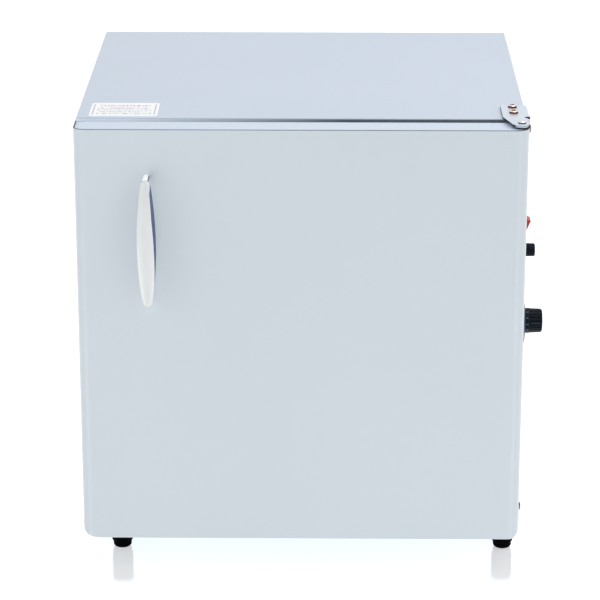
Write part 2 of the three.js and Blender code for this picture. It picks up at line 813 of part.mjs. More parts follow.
// Wire shelf: a rod rim with two cross rods under the wires
function wireShelf() {
  const half = wallHalf - seat - railSheet - shelfSidePlay;
  const front = railInset + railSheet + shelfFrontInset;
  const back = chamberBack - shelfBackPlay;
  const level = shelfRim + seat;
  const left = -half + shelfRim;
  const right = half - shelfRim;
  const near = front + shelfRim;
  const far = back - shelfRim;
  const rimParts = [
    bar('x', shelfRim, -half, half, [0, near, level], tubeSides),
    bar('x', shelfRim, -half, half, [0, far, level], tubeSides),
    bar('y', shelfRim, front, back, [left, 0, level], tubeSides),
    bar('y', shelfRim, front, back, [right, 0, level], tubeSides),
  ];
  const crossRods = crossRodShares.map((share) => bar('x', shelfWire, left, right,
    [0, near + share * (far - near), level], wireSides));
  const count = Math.floor((right - left - shelfPitch) / shelfPitch) + 1;
  const wires = Array.from({ length: count }, (_, i) => bar('y', shelfWire, near, far,
    [(i - (count - 1) / 2) * shelfPitch, 0, level + shelfWire], wireSides));
  return join(...rimParts, ...crossRods, ...wires);
}

function thermostatBody() {
  const housing = block(thermostatX, fillHalf, controlSetback - thermostatLength / 2,
    controlSetback + thermostatLength / 2, knobZ - thermostatHeight / 2, knobZ + thermostatHeight / 2);
  const axis = [0, controlSetback, knobZ];
  const bushing = bar('x', bushingRadius, fillHalf - seat, caseHalf + seat + dialHeight - dialSheet, axis);
  const bore = bar('x', shaftRadius + runPlay, fillHalf - shaftHidden - seat,
    caseHalf + dialHeight + overrun, axis);
  return carve(join(housing, bushing), bore);
}

const knobBase = caseHalf + seat + dialHeight + knobLift;
const shaftEnd = knobBase + knobBore - seat;

// Round shaft, flattened where the knob grips it
function shaftShape(radius, from, to, flatFrom) {
  const round = bar('x', radius, from, to, [0, 0, 0]);
  const flat = block(flatFrom, to + overrun, -radius - overrun, radius + overrun,
    radius - shaftFlat, radius + overrun);
  return carve(round, flat);
}

function thermostatShaft() {
  return shaftShape(shaftRadius, fillHalf - shaftHidden, shaftEnd, knobBase);
}

function dialPlate() {
  const foot = caseHalf + seat;
  const face = foot + dialHeight;
  const hole = bushingRadius + holePlay;
  return turned('x', [
    [hole, face - dialSheet], [hole, face], [dialRadius - dialEdge, face],
    ...arc(dialRadius - dialEdge, face - dialEdge, dialEdge, 90, 0, 2).slice(1),
    [dialRadius, foot], [dialRadius - dialSheet, foot],
    [dialRadius - dialSheet, face - dialEdge], [dialRadius - dialEdge, face - dialSheet],
    [hole, face - dialSheet],
  ], [0, controlSetback, knobZ], dialSides);
}

// A ring of points about the x axis whose every second pair dips into a flute
function flutedRing(x, radius, depth, flutes) {
  const pattern = [0, 0, 1, 1];
  const count = flutes * pattern.length;
  return Array.from({ length: count }, (_, i) => {
    const r = radius - depth * pattern[i % pattern.length];
    const angle = (2 * Math.PI * i) / count;
    return new THREE.Vector3(x, r * Math.cos(angle), r * Math.sin(angle));
  });
}

// Turning knob: a plain skirt, then a fluted grip that narrows to a domed end
function thermostatKnob() {
  const grip = knobRadius - knobFlute / 2;
  const tip = knobLength - knobDome;
  const rings = [
    flutedRing(0, knobRadius, 0, knobFlutes),
    flutedRing(knobSkirt, knobRadius, 0, knobFlutes),
    flutedRing(knobSkirt + knobFlute, grip, knobFlute, knobFlutes),
    flutedRing(tip, knobTipRadius, knobFlute, knobFlutes),
    flutedRing(knobLength, knobTipRadius - knobDome, knobFlute / 2, knobFlutes),
  ];
  const bore = shaftShape(shaftRadius + seat, -overrun, knobBore, -2 * overrun);
  return carve(loft(rings), bore);
}

function switchHousing() {
  const face = caseHalf + seat + bezelHeight;
  const halfWidth = bezelWidth / 2;
  const halfLength = bezelLength / 2;
  const bezel = block(caseHalf + seat, face, controlSetback - halfWidth, controlSetback + halfWidth,
    switchZ - halfLength, switchZ + halfLength);
  const body = block(caseHalf - switchBody, caseHalf + seat + bezelHeight / 2, ...switchBodySpan(0));
  const room = rockerRadius + rockerGap;
  const roomWidth = rockerWidth / 2 + rockerGap;
  const pivot = caseHalf + rockerPivotHeight;
  const well = prism('y', [
    [face + overrun, switchZ + room], [face + overrun, switchZ - room],
    ...arc(pivot, switchZ, room, downward, upward, 2 * edgeSteps),
  ], controlSetback - roomWidth, controlSetback + roomWidth);
  return carve(join(bezel, body), well);
}

// Rocker: round ends about its pivot, a dished face and a hub behind
function switchRocker() {
  const foot = -rockerFaceAngle;
  const halfLength = rockerRadius * Math.cos(rockerFaceAngle * degree);
  const faceHeight = rockerRadius * Math.sin(rockerFaceAngle * degree);
  const outline = [
    ...arc(0, 0, rockerRadius, upward + foot, upward - foot, edgeSteps),
    [-rockerHub, halfLength / 3],
    [-rockerHub, -halfLength / 3],
    ...arc(0, 0, rockerRadius, downward + foot, downward - foot, edgeSteps),
    [faceHeight - rockerDish / 2, -halfLength / 3],
    [faceHeight - rockerDish, 0],
    [faceHeight - rockerDish / 2, halfLength / 3],
  ];
  return prism('y', outline, -rockerWidth / 2, rockerWidth / 2);
}

function fuseHolder() {
  const axis = [0, controlSetback, fuseZ];
  const inner = caseHalf - fuseBarrel;
  return carve(
    join(
      bar('x', fuseFlangeRadius, caseHalf + seat, caseHalf + seat + fuseFlange, axis, midSides),
      bar('x', fuseBarrelRadius, inner, caseHalf + seat + fuseFlange / 2, axis, midSides),
    ),
    bar('x', fuseBore, inner + seat + caseSheet, caseHalf + overrun, axis, midSides),
  );
}

const fuseCapBase = caseHalf + 2 * seat + fuseFlange;

function fuseCap() {
  const grip = fuseCapRadius - fuseCapFlute / 2;
  const tip = fuseCapLength - fuseCapFlute;
  const rings = [
    flutedRing(0, fuseCapRadius, 0, fuseCapFlutes),
    flutedRing(fuseCapFlute, grip, fuseCapFlute, fuseCapFlutes),
    flutedRing(tip, fuseCapTipRadius, fuseCapFlute, fuseCapFlutes),
    flutedRing(fuseCapLength, fuseCapTipRadius - fuseCapFlute, fuseCapFlute, fuseCapFlutes),
  ];
  const stem = bar('x', fuseBore - runPlay, -fuseStem, fuseCapFlute / 2, [0, 0, 0], smallSides);
  return join(loft(rings), stem);
}

function fuseNutShape() {
  const axis = [0, controlSetback, fuseZ];
  const hex = bar('x', fuseNutRadius, innerHalf - seat - fuseNut, innerHalf - seat, axis, nutSides);
  return carve(hex, bar('x', fuseBarrelRadius + holePlay, 0, caseHalf, axis, midSides));
}

// Fine tube from the thermostat through the chamber wall to its bulb
function thermostatCapillary() {
  const standX = linerHalf + capillaryStand;
  const bulbX = wallHalf - bulbFromWall;
  const route = roundedRoute([
    [thermostatX - seat, capillaryY, knobZ],
    [standX, capillaryY, knobZ],
    [standX, capillaryY, capillaryZ],
    [bulbX, capillaryY, capillaryZ],
    [bulbX, bulbFront + capillaryBend, capillaryZ],
  ], capillaryBend);
  const bulb = turned('y', [
    [0, 0], [bulbRadius / 2, 0], [bulbRadius, bulbRadius], [bulbRadius, bulbLength - bulbRadius],
    [bulbRadius / 2, bulbLength], [0, bulbLength],
  ], [bulbX, bulbFront, capillaryZ], smallSides);
  return join(tube(route, capillaryRadius, cornerSteps, wireSides), bulb);
}

function bulbClip() {
  const bulbX = wallHalf - bulbFromWall;
  const middle = bulbFront + bulbLength / 2;
  const body = block(bulbX - bulbRadius - clipWrap, wallHalf - seat, middle - clipWidth / 2,
    middle + clipWidth / 2, capillaryZ - clipHeight / 2, capillaryZ + clipHeight / 2);
  const grip = bar('y', bulbRadius + seat, middle - clipWidth, middle + clipWidth,
    [bulbX, 0, capillaryZ], smallSides);
  const mouth = block(bulbX - bulbRadius - clipWrap - overrun, bulbX, middle - clipWidth, middle + clipWidth,
    capillaryZ - bulbRadius / 2, capillaryZ + bulbRadius / 2);
  return carve(body, grip, mouth);
}

function overheatCutout() {
  const axis = [0, controlSetback, knobZ + cutoutRise];
  const foot = linerHalf + seat;
  const halfLug = cutoutRadius + cutoutLug;
  return join(
    bar('x', cutoutRadius, foot, foot + cutoutDepth, axis),
    block(foot, foot + linerSheet, controlSetback - halfLug, controlSetback + halfLug,
      axis[2] - cutoutLug, axis[2] + cutoutLug),
  );
}

function terminalBlock() {
  const right = fillHalf - panSheet - pocketRoom;
  const back = fillBack;
  const low = caseBottom + blockRise;
  const body = block(right - blockWidth, right, back - blockDepth, back, low, low + blockHeight);
  const ways = terminalShares.map((share) => bar('x', terminalRadius, right - blockWidth / 2,
    right + overrun, [0, back - blockDepth / 2, low + share * blockHeight], smallSides));
  return carve(body, ...ways);
}

function cordGland() {
  const foot = caseDepth + 2 * seat + backSheet;
  return turned('y', [
    [glandBore, foot - backSheet - glandFlange], [glandNeck, foot - backSheet - glandFlange],
    [glandNeck, foot], [glandRadius, foot], [glandRadius, foot + glandFlange / 2],
    [glandNeck, foot + glandFlange], [glandBore, foot + glandFlange],
    [glandBore, foot - backSheet - glandFlange],
  ], [glandX, 0, glandZ], midSides);
}

// The two hinge brackets: plan ahead of the case, flange, and holes from the case's front
const topBracket = {
  tongue: () => {
    const dx = pivotX - bracketX;
    const dy = -bracketShoulder - pivotY;
    const tangent = Math.atan2(dy, -dx) + Math.acos(bracketTongue / Math.hypot(dx, dy));
    const side = -Math.acos((foldX - pivotX) / bracketTongue);
    return [
      ...arc(pivotX, pivotY, bracketTongue, tangent / degree, 360 + side / degree, 2 * edgeSteps),
      [foldX, bracketFlangeStart - caseBend],
    ];
  },
  flange: bracketFlange,
  flangeScrew: flangeScrewDrop,
  holes: bracketScrewSpots.map((y) => [y, screwRadius + holePlay]),
};
const bottomBracket = {
  tongue: () => [
    [pivotX - lowTongue, -bracketShoulder],
    ...arc(pivotX, pivotY, lowTongue, 180, 360, 2 * edgeSteps),
    [pivotX + lowTongue, -bracketShoulder],
  ],
  flange: lowFlange,
  flangeScrew: flangeScrewRise,
  holes: [[footHingeInset, footStudRadius + holePlay], [lowScrewBack, screwRadius + holePlay]],
};

// Plan of a hinge bracket's plate: square on the case, a round tongue about the pin
function bracketPlan(bracket) {
  const plateRight = foldX - bracketSheet;
  return [
    [bracketX, bracketBack],
    [bracketX, -bracketShoulder],
    ...bracket.tongue(),
    [plateRight, bracketFlangeStart - caseBend],
    [plateRight, bracketBack],
  ];
}

// The folded side of a bracket: plate edge, bend and flange, as the outline of its end
function bracketFold(flange) {
  const inner = foldX - bracketSheet;
  const bend = bracketSheet + bracketBend;
  return [
    [inner, -flange], [foldX, -flange],
    ...arc(foldX - bend, bracketSheet - bend, bend, 0, 90),
    [bracketX + bracketSheet, bracketSheet], [bracketX + bracketSheet, 0],
    ...arc(foldX - bend, bracketSheet - bend, bracketBend, 90, 0),
  ];
}

// Hinge bracket with its plate lying on a plane at height zero, flange down
function hingeBracket(bracket) {
  const plan = prism('z', bracketPlan(bracket), 0, bracketSheet);
  const fold = prism('y', bracketFold(bracket.flange), bracketFlangeStart, bracketBack);
  const pinHole = bar('z', pinRadius + holePlay, -overrun, bracketSheet + overrun,
    [pivotX, pivotY, 0], midSides);
  const plateHoles = bracket.holes.map(([y, radius]) => bar('z', radius, -overrun,
    bracketSheet + overrun, [bracketScrewX, y, 0], smallSides));
  const flangeHole = screwHole('x', [foldX - bracketSheet / 2, flangeScrewBack,
    -bracket.flangeScrew - seat]);
  return carve(join(plan, fold), pinHole, ...plateHoles, flangeHole);
}

// Thick plate inside the case that the bracket's screws bite into
function hingeBacking(bracket) {
  const plateRight = fillHalf - panSheet - seat;
  const body = block(bracketX - backingMargin, plateRight, fillFront + panSheet + seat,
    bracketBack + backingMargin, -backingSheet, 0);
  const holes = bracket.holes.map(([y, radius]) => bar('z', radius, -overrun - backingSheet,
    overrun, [bracketScrewX, y, 0], smallSides));
  return carve(body, ...holes);
}

// Hinge pin with its head on the bracket's outer face, pointing down from height zero
function hingePin() {
  return turned('z', [
    [0, pinHead], [pinHeadRadius - pinHead / 2, pinHead], [pinHeadRadius, pinHead / 2],
    [pinHeadRadius, 0], [pinRadius, 0], [pinRadius, -pinReach + pinRadius / 2],
    [pinRadius / 2, -pinReach], [0, -pinReach],
  ], [0, 0, 0], midSides);
}

// Flanged bush in the door's cap, its flange between the cap and the bracket
function hingeBush(radius, flange) {
  const bore = pinRadius + runPlay;
  return turned('z', [
    [bore, flange], [radius, flange], [radius, 0],
    [bore + bushWall, 0], [bore + bushWall, -bushLength], [bore, -bushLength], [bore, flange],
  ], [0, 0, 0], midSides);
}

// Domed head with its seat at height zero, and a plain shank below
function screw(length) {
  return turned('z', [
    ...headShares.map(([across, up]) => [across * screwHeadRadius, up * screwHead]),
    [screwRadius, 0], [screwRadius, -length], [0, -length],
  ], [0, 0, 0], smallSides);
}

// Rubber foot with its stud, standing on height zero
function foot(height) {
  const pad = footPadRadius;
  return turned('z', [
    [0, 0], [pad, 0],
    [footLowRadius - footRound / 4, footRound / 4], [footLowRadius, footRound],
    [footLowRadius, footShoulder - footTaper], [footRadius, footShoulder],
    [footRadius, height - seat], [footStudRadius, height - seat],
    [footStudRadius, height + footStudReach], [0, height + footStudReach],
  ], [0, 0, 0], midSides);
}

// Plan of the door: square at the back, round along both front edges
function doorPlan(inset, back = doorBackY) {
  const half = doorHalf - inset;
  const front = doorFrontY + inset;
  const radius = Math.max(doorEdge - inset, doorSheet);
  return [
    [half, back], [-half, back],
    ...arc(-half + radius, front + radius, radius, 180, 270, edgeSteps),
    ...arc(half - radius, front + radius, radius, 270, 360, edgeSteps),
  ];
}

// Room in the door's lower hinge corner for the tongue as the door swings
const pocketCeiling = caseBottom + seat + lowBushFlange;
const lowBushRadius = lowTongue + pocketPlay - seat;

function tonguePocket(grow = 0) {
  return block(pivotX - lowTongue - pocketPlay - grow, doorHalf + overrun,
    pivotY - pocketReach - grow, doorBackY + overrun, doorBottom - overrun, pocketCeiling + grow);
}

// What the two round lower corners take off, seen from the front
function lowCornerTool() {
  const outer = rectangle(-doorHalf - overrun, doorHalf + overrun,
    doorBottom - overrun, doorBottom + doorLowRound);
  const kept = [
    [doorHalf, doorBottom + doorLowRound], [-doorHalf, doorBottom + doorLowRound],
    ...arc(-doorHalf + doorLowRound, doorBottom + doorLowRound, doorLowRound, 180, 270).slice(1),
    ...arc(doorHalf - doorLowRound, doorBottom + doorLowRound, doorLowRound, 270, 360).slice(0, -1),
  ];
  return carve(prism('y', outer, doorFrontY - overrun, doorBackY + overrun),
    prism('y', kept, doorFrontY - 2 * overrun, doorBackY + 2 * overrun));
}

const bladeX = -doorHalf + bladeInset;
const bladeTop = doorTop - bladeTopDrop;
const postHeights = [bladeTop - postEndInset, bladeTop - bladeLength + postEndInset];

// Wrapped sheet: front, two sides and narrow returns at the back
function doorSkin() {
  const wrap = prism('z', doorPlan(0), doorBottom, doorTop);
  const hollow = prism('z', doorPlan(doorSheet, doorBackY - doorSheet),
    doorBottom - overrun, doorTop + overrun);
  const opening = block(-doorHalf + doorReturn, doorHalf - doorReturn, doorBackY - doorSheet - overrun,
    doorBackY + overrun, doorBottom - overrun, doorTop + overrun);
  const studHoles = postHeights.map((z) => bar('y', studRadius + holePlay, doorFrontY - overrun,
    doorFrontY + overrun, [bladeX, 0, z], smallSides));
  return carve(wrap, hollow, opening, ...studHoles, lowCornerTool(), tonguePocket());
}

const panelFront = doorBackY - doorSheet - seat - panelSheet;

const upsideDown = new THREE.Matrix4().makeScale(1, 1, -1);

function flipped(geometry) {
  const copy = geometry.clone();
  copy.applyMatrix4(upsideDown);
  return copy;
}

// Moulded end cap, drawn with its lid up: a lid inside the skin's edge, with a skirt below it
function doorCap(pad = []) {
  const inset = doorSheet + capGroove;
  const lidBack = doorBackY - inset;
  const ring = (further, z) => doorPlan(inset + further, lidBack - further).map(([x, y]) =>
    new THREE.Vector3(x, y, z));
  const lid = loft([ring(0, -capLid), ring(0, -capBevelRise), ring(capBevel, 0)]);
  const skirtBack = panelFront - seat;
  const skirtLow = -capLid - capSkirt;
  const skirt = prism('z', doorPlan(inset, skirtBack), skirtLow, -capLid);
  const well = prism('z', doorPlan(inset + capWall, skirtBack - capWall), skirtLow - overrun, -capLid);
  const boss = bar('z', pinRadius + runPlay + 2 * bushWall + capWall, skirtLow, -capLid,
    [pivotX, pivotY, 0], midSides);
  const inSkirt = [boss, ...pad].map((part) => toGeometry(toSolid(part).intersect(toSolid(skirt))));
  const bore = bar('z', pinRadius + runPlay + bushWall + holePlay, skirtLow - overrun, overrun,
    [pivotX, pivotY, 0], midSides);
  return carve(join(lid, carve(skirt, well), ...inSkirt), bore);
}

// The bottom cap stands the right way up in the door, its hinge corner thickened round the pocket
function doorBottomCap() {
  const depth = pocketCeiling - doorBottom;
  const pad = block(pivotX - lowTongue - pocketPlay - capWall, doorHalf, pivotY - pocketReach - capWall,
    doorBackY, -depth - capWall, -capLid);
  const cap = flipped(doorCap([pad]));
  cap.translate(0, 0, doorBottom);
  return carve(cap, lowCornerTool(), tonguePocket());
}

function doorPanelRecess(grow) {
  return prism('y', roundedRectangle(
    -doorHalf + panelRecessMargin - grow, doorHalf - panelRecessMargin + grow,
    doorBottom + panelRecessMargin - grow, doorTop - panelRecessMargin + grow,
    panelRecessCorner), panelFront - panelRecess, panelFront + panelSheet);
}

// Inner door panel: a flat sheet pressed in over the chamber's mouth
function doorInnerPanel() {
  const half = doorHalf - doorSheet - seat;
  const sheet = block(-half, half, panelFront, panelFront + panelSheet,
    doorBottom + capLid + seat, doorTop - capLid - seat);
  const dish = doorPanelRecess(0);
  const hollow = doorPanelRecess(-panelSheet);
  hollow.translate(0, panelSheet, 0);
  return carve(join(sheet, dish), hollow, tonguePocket(seat));
}

function doorInsulation() {
  const low = doorBottom + capLid + capSkirt + seat;
  const high = doorTop - capLid - capSkirt - seat;
  const slab = prism('z', doorPlan(doorSheet + seat, panelFront - seat), low, high);
  const dish = doorPanelRecess(seat);
  dish.translate(0, -seat, 0);
  const studRooms = postHeights.map((z) => bar('y', studRadius + pocketRoom, doorFrontY - overrun,
    doorFrontY + studReach + pocketRoom, [bladeX, 0, z], smallSides));
  const pinRooms = [
    bar('z', pinRadius + pocketRoom, low - overrun, low + pocketRoom, [pivotX, pivotY, 0], smallSides),
    bar('z', pinRadius + pocketRoom, high - pocketRoom, high + overrun, [pivotX, pivotY, 0], smallSides),
  ];
  return carve(slab, dish, ...studRooms, ...pinRooms);
}

// Magnetic seal: a flat base with a narrower bulb that meets the case
function doorGasket() {
  const outer = doorReturn + doorSheet + seat;
  const ring = (inset, width) => [
    rectangle(-doorHalf + inset, doorHalf - inset, doorBottom + inset, doorTop - inset),
    rectangle(-doorHalf + inset + width, doorHalf - inset - width,
      doorBottom + inset + width, doorTop - inset - width),
  ];
  const start = panelFront + panelSheet + seat;
  const [baseOut, baseIn] = ring(outer, gasketWidth);
  const [bulbOut, bulbIn] = ring(outer + (gasketWidth - gasketBulb) / 2, gasketBulb);
  return join(
    prism('y', baseOut, start, start + gasketBase, [baseIn]),
    prism('y', bulbOut, start, -gasketFree, [bulbIn]),
  );
}

// Leaf-shaped blade: lens sections along its length, bowed away from the door
function handleBlade() {
  const endRound = bladeEndWidth / 2;
  const rings = bladeStationShares.map((share) => {
    const swell = Math.sin(Math.PI * share);
    const widening = swell ** bladeFullness;
    const fromEnd = Math.min(share, 1 - share) * bladeLength;
    const inRound = Math.max(0, 1 - fromEnd / endRound);
    const narrowing = Math.sqrt(1 - inRound * inRound);
    const half = narrowing * (bladeEndWidth + (bladeWidth - bladeEndWidth) * widening) / 2;
    const thickness = bladeEndThickness + (bladeThickness - bladeEndThickness) * swell;
    const face = doorFrontY - bladeStandoff - bladeBow * swell;
    const z = bladeTop - share * bladeLength;
    const front = bladeFrontShares.map((side) => new THREE.Vector3(
      bladeX + side * half, face + bladeCrown * side * side, z));
    const back = bladeBackShares.map((side) => new THREE.Vector3(
      bladeX + side * half, face + thickness, z));
    return [...front, ...back];
  });
  const sockets = postHeights.map((z) => bar('y', postRadius + seat, bladeBackAt(z) - postSocket,
    bladeBackAt(z) + overrun, [bladeX, 0, z], smallSides));
  return carve(loft(rings), ...sockets);
}

// Y of the blade's back face at a height
function bladeBackAt(z) {
  const swell = Math.sin((Math.PI * (bladeTop - z)) / bladeLength);
  const thickness = bladeEndThickness + (bladeThickness - bladeEndThickness) * swell;
  return doorFrontY - bladeStandoff - bladeBow * swell + thickness;
}

// Post from the blade to the door's skin, with its stud through the skin
function handlePost(z) {
  const tip = bladeBackAt(z) - postSocket + seat;
  const foot = doorFrontY - seat;
  return turned('y', [
    [0, tip], [postRadius, tip], [postRadius, foot], [studRadius, foot],
    [studRadius, doorFrontY + studReach], [0, doorFrontY + studReach],
  ], [bladeX, 0, z], smallSides);
}

// Fixed pieces of the cabinet
addPiece(cabinet, 'outer_case', outerCase(), steel);
addPiece(cabinet, 'front_collar', frontCollar(), collarPlastic);
addPiece(cabinet, 'base_panel', basePanel(), steel);
addPiece(cabinet, 'back_panel', backPanel(), steel);
addPiece(cabinet, 'inner_chamber', innerChamber(), innerSteel);
addPiece(cabinet, 'insulation_left', insulationSide(-1), wool);
addPiece(cabinet, 'insulation_right', insulationSide(1), wool);
addPiece(cabinet, 'insulation_top', insulationTop(), wool);
addPiece(cabinet, 'insulation_bottom', insulationBottom(), wool);
addPiece(cabinet, 'insulation_back', insulationBack(), wool);
addPiece(cabinet, 'heater_element', heaterElement(), brightSteel);
addPiece(cabinet, 'heater_support', heaterSupport(), innerSteel);
addPiece(cabinet, 'heater_cover', heaterCover(), innerSteel);
addPiece(cabinet, 'shelf_rail_left', shelfRail(-1), innerSteel);
addPiece(cabinet, 'shelf_rail_right', shelfRail(1), innerSteel);
['shelf_lower', 'shelf_upper'].forEach((name, i) =>
  addPiece(cabinet, name, wireShelf(), brightSteel, [0, 0, railLevels[i]]));

// Controls, sensor and wiring
addPiece(cabinet, 'thermostat_body', thermostatBody(), blackPlastic);
addPiece(cabinet, 'thermostat_shaft', thermostatShaft(), brightSteel, [0, controlSetback, knobZ]);
addPiece(cabinet, 'dial_plate', dialPlate(), brightSteel);
addPiece(cabinet, 'thermostat_knob', thermostatKnob(), blackPlastic, [knobBase, controlSetback, knobZ]);
addPiece(cabinet, 'thermostat_capillary', thermostatCapillary(), copper);
addPiece(cabinet, 'bulb_clip', bulbClip(), innerSteel);
addPiece(cabinet, 'overheat_cutout', overheatCutout(), blackPlastic);
addPiece(cabinet, 'switch_housing', switchHousing(), blackPlastic);
addPiece(cabinet, 'switch_rocker', switchRocker(), redPlastic,
  [caseHalf + rockerPivotHeight, controlSetback, switchZ], [0, rockerTilt * degree, 0]);
addPiece(cabinet, 'fuse_holder', fuseHolder(), blackPlastic);
addPiece(cabinet, 'fuse_nut', fuseNutShape(), blackPlastic);
addPiece(cabinet, 'fuse_cap', fuseCap(), blackPlastic, [fuseCapBase, controlSetback, fuseZ]);
addPiece(cabinet, 'fuse_cartridge',
  bar('x', fuseTubeRadius, -fuseTubeLength, 0, [0, 0, 0], smallSides), glassTube,
  [fuseCapBase - fuseStem - seat, controlSetback, fuseZ]);
addPiece(cabinet, 'terminal_block', terminalBlock(), ivoryPlastic);
addPiece(cabinet, 'cord_gland', cordGland(), blackRubber);

// Hinge hardware: the bottom set is the top set turned over about the front-to-back axis
// and mirrored back to its own side by building it upside down
const topPlateZ = caseTop + seat;
const bottomPlateZ = caseBottom - seat;
addPiece(cabinet, 'hinge_bracket_top', hingeBracket(topBracket), plate, [0, 0, topPlateZ]);
addPiece(cabinet, 'hinge_bracket_bottom', flipped(hingeBracket(bottomBracket)), plate, [0, 0, bottomPlateZ]);
addPiece(cabinet, 'hinge_backing_top', hingeBacking(topBracket), plate, [0, 0, caseTop - caseSheet - seat]);
addPiece(cabinet, 'hinge_backing_bottom', flipped(hingeBacking(bottomBracket)), plate,
  [0, 0, caseBottom + panSheet + seat]);
addPiece(cabinet, 'hinge_pin_top', hingePin(), brightSteel,
  [pivotX, pivotY, topPlateZ + bracketSheet + seat]);
addPiece(cabinet, 'hinge_pin_bottom', flipped(hingePin()), brightSteel,
  [pivotX, pivotY, bottomPlateZ - bracketSheet - seat]);

// Screws: a name, its place on the outer face, and the turn that points its head outwards
const outward = { up: [0, 0, 0], down: [Math.PI, 0, 0], right: [0, Math.PI / 2, 0] };
const plateTopZ = topPlateZ + bracketSheet + seat;
const plateLowZ = bottomPlateZ - bracketSheet - seat;
bracketScrewSpots.forEach((y, i) =>
  addPiece(cabinet, `bracket_screw_top_${i + 1}`, screw(bracketScrewLength), goldZinc,
    [bracketScrewX, y, plateTopZ], outward.up));
addPiece(cabinet, 'bracket_screw_top_side', screw(bracketScrewLength), goldZinc,
  [foldX + seat, flangeScrewBack, caseTop - flangeScrewDrop], outward.right);
addPiece(cabinet, 'bracket_screw_bottom', screw(bracketScrewLength), goldZinc,
  [bracketScrewX, lowScrewBack, plateLowZ], outward.down);
addPiece(cabinet, 'bracket_screw_bottom_side', screw(bracketScrewLength), goldZinc,
  [foldX + seat, flangeScrewBack, caseBottom + flangeScrewRise], outward.right);
['front', 'back'].forEach((end, i) =>
  addPiece(cabinet, `case_screw_${end}`, screw(caseScrewLength), goldZinc,
    [caseHalf + seat, caseScrewSpots[i], caseScrewZ], outward.right));

// Feet
Object.entries(footSpots).forEach(([name, [x, y]]) => {
  const underBracket = name === 'foot_front_right';
  const height = underBracket ? footHeight - seat - bracketSheet : footHeight;
  addPiece(cabinet, name, foot(height), blackRubber, [x, y, 0]);
});

// Door
const topBushFlange = topPlateZ - doorTop - 2 * seat;
addPiece(door, 'door_skin', doorSkin(), doorPaint);
addPiece(door, 'door_top_cap', doorCap(), capPlastic, [0, 0, doorTop]);
addPiece(door, 'door_bottom_cap', doorBottomCap(), capPlastic);
addPiece(door, 'door_inner_panel', doorInnerPanel(), collarPlastic);
addPiece(door, 'door_insulation', doorInsulation(), wool);
addPiece(door, 'door_gasket', doorGasket(), sealRubber);
addPiece(door, 'hinge_bush_top', hingeBush(bushFlangeRadius, topBushFlange), bushNylon,
  [pivotX, pivotY, doorTop + seat]);
addPiece(door, 'hinge_bush_bottom', flipped(hingeBush(lowBushRadius, lowBushFlange)), bushNylon,
  [pivotX, pivotY, pocketCeiling - seat]);
addPiece(door, 'handle_blade', handleBlade(), handleMetal);
['top', 'bottom'].forEach((end, i) =>
  addPiece(door, `handle_post_${end}`, handlePost(postHeights[i]), handleMetal));

// Centre the whole on its footprint
const knobEnd = knobBase + knobLength;
const handleFront = doorFrontY - bladeStandoff - bladeBow;
const glandBack = caseDepth + 2 * seat + backSheet + glandFlange;
cabinet.position.set((caseHalf - knobEnd) / 2, -(handleFront + glandBack) / 2, 0);

export default cabinet;
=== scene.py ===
import math

import bmesh
import bpy
from mathutils import Matrix, Vector


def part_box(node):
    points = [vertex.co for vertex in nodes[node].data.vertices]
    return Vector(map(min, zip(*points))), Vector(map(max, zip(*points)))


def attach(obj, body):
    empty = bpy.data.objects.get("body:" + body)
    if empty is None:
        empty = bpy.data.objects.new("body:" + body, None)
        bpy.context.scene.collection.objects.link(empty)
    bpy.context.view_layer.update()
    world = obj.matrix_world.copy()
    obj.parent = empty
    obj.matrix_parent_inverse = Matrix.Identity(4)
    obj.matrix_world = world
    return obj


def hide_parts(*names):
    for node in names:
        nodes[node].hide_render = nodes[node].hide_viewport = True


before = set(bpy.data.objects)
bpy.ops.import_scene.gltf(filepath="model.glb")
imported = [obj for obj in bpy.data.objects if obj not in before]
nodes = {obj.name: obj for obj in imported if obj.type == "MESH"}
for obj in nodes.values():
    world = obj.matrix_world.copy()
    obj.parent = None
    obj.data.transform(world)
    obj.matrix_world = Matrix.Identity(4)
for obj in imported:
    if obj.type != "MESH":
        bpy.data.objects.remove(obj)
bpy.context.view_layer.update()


# Camera
# A long lens stands in front of the door, a little above the cabinet's top, and looks down
# so that the whole top shows.
def linked(name, data):
    thing = bpy.data.objects.new(name, data)
    bpy.context.scene.collection.objects.link(thing)
    return thing


camera_pitch = math.radians(18.748)
camera_yaw = math.radians(-0.694)
camera_place = Vector((0.01771, -2.72956, 1.15377))
camera_data = bpy.data.cameras.new("studio_camera")
camera_data.sensor_width = 36.0
camera_data.lens = 160.19
camera = linked("studio_camera", camera_data)
ahead = Vector((
    math.sin(camera_yaw) * math.cos(camera_pitch),
    math.cos(camera_yaw) * math.cos(camera_pitch),
    -math.sin(camera_pitch),
))
rightward = Vector((math.cos(camera_yaw), -math.sin(camera_yaw), 0.0))
upward = rightward.cross(ahead)
turn = Matrix((rightward, upward, -ahead)).transposed().to_4x4()
camera.matrix_world = Matrix.Translation(camera_place) @ turn
bpy.context.scene.camera = camera

# Studio
# White surroundings, a pale polished floor, and three large soft lamps: one over the top, one
# at the left front and a weaker one at the right.
bpy.context.scene.view_settings.view_transform = "Standard"
white = (1.0, 1.0, 1.0, 1.0)
ambient_strength = 0.5
floor_reach = 6.0
floor_grey = (0.85, 0.85, 0.85, 1.0)
floor_roughness = 0.1
floor_polish = 0.58
floor_glow = 0.5
floor_light = 0.3


# A node of a tree, its inputs set to values or linked to the sockets given for them
def add_node(tree, kind, values=None, **settings):
    made = tree.nodes.new(kind)
    for key, value in settings.items():
        setattr(made, key, value)
    for key, value in (values or {}).items():
        if isinstance(value, bpy.types.NodeSocket):
            tree.links.new(value, made.inputs[key])
        else:
            made.inputs[key].default_value = value
    return made


def reckoned(tree, operation, first, second):
    return add_node(tree, "ShaderNodeMath", {0: first, 1: second}, operation=operation).outputs[0]


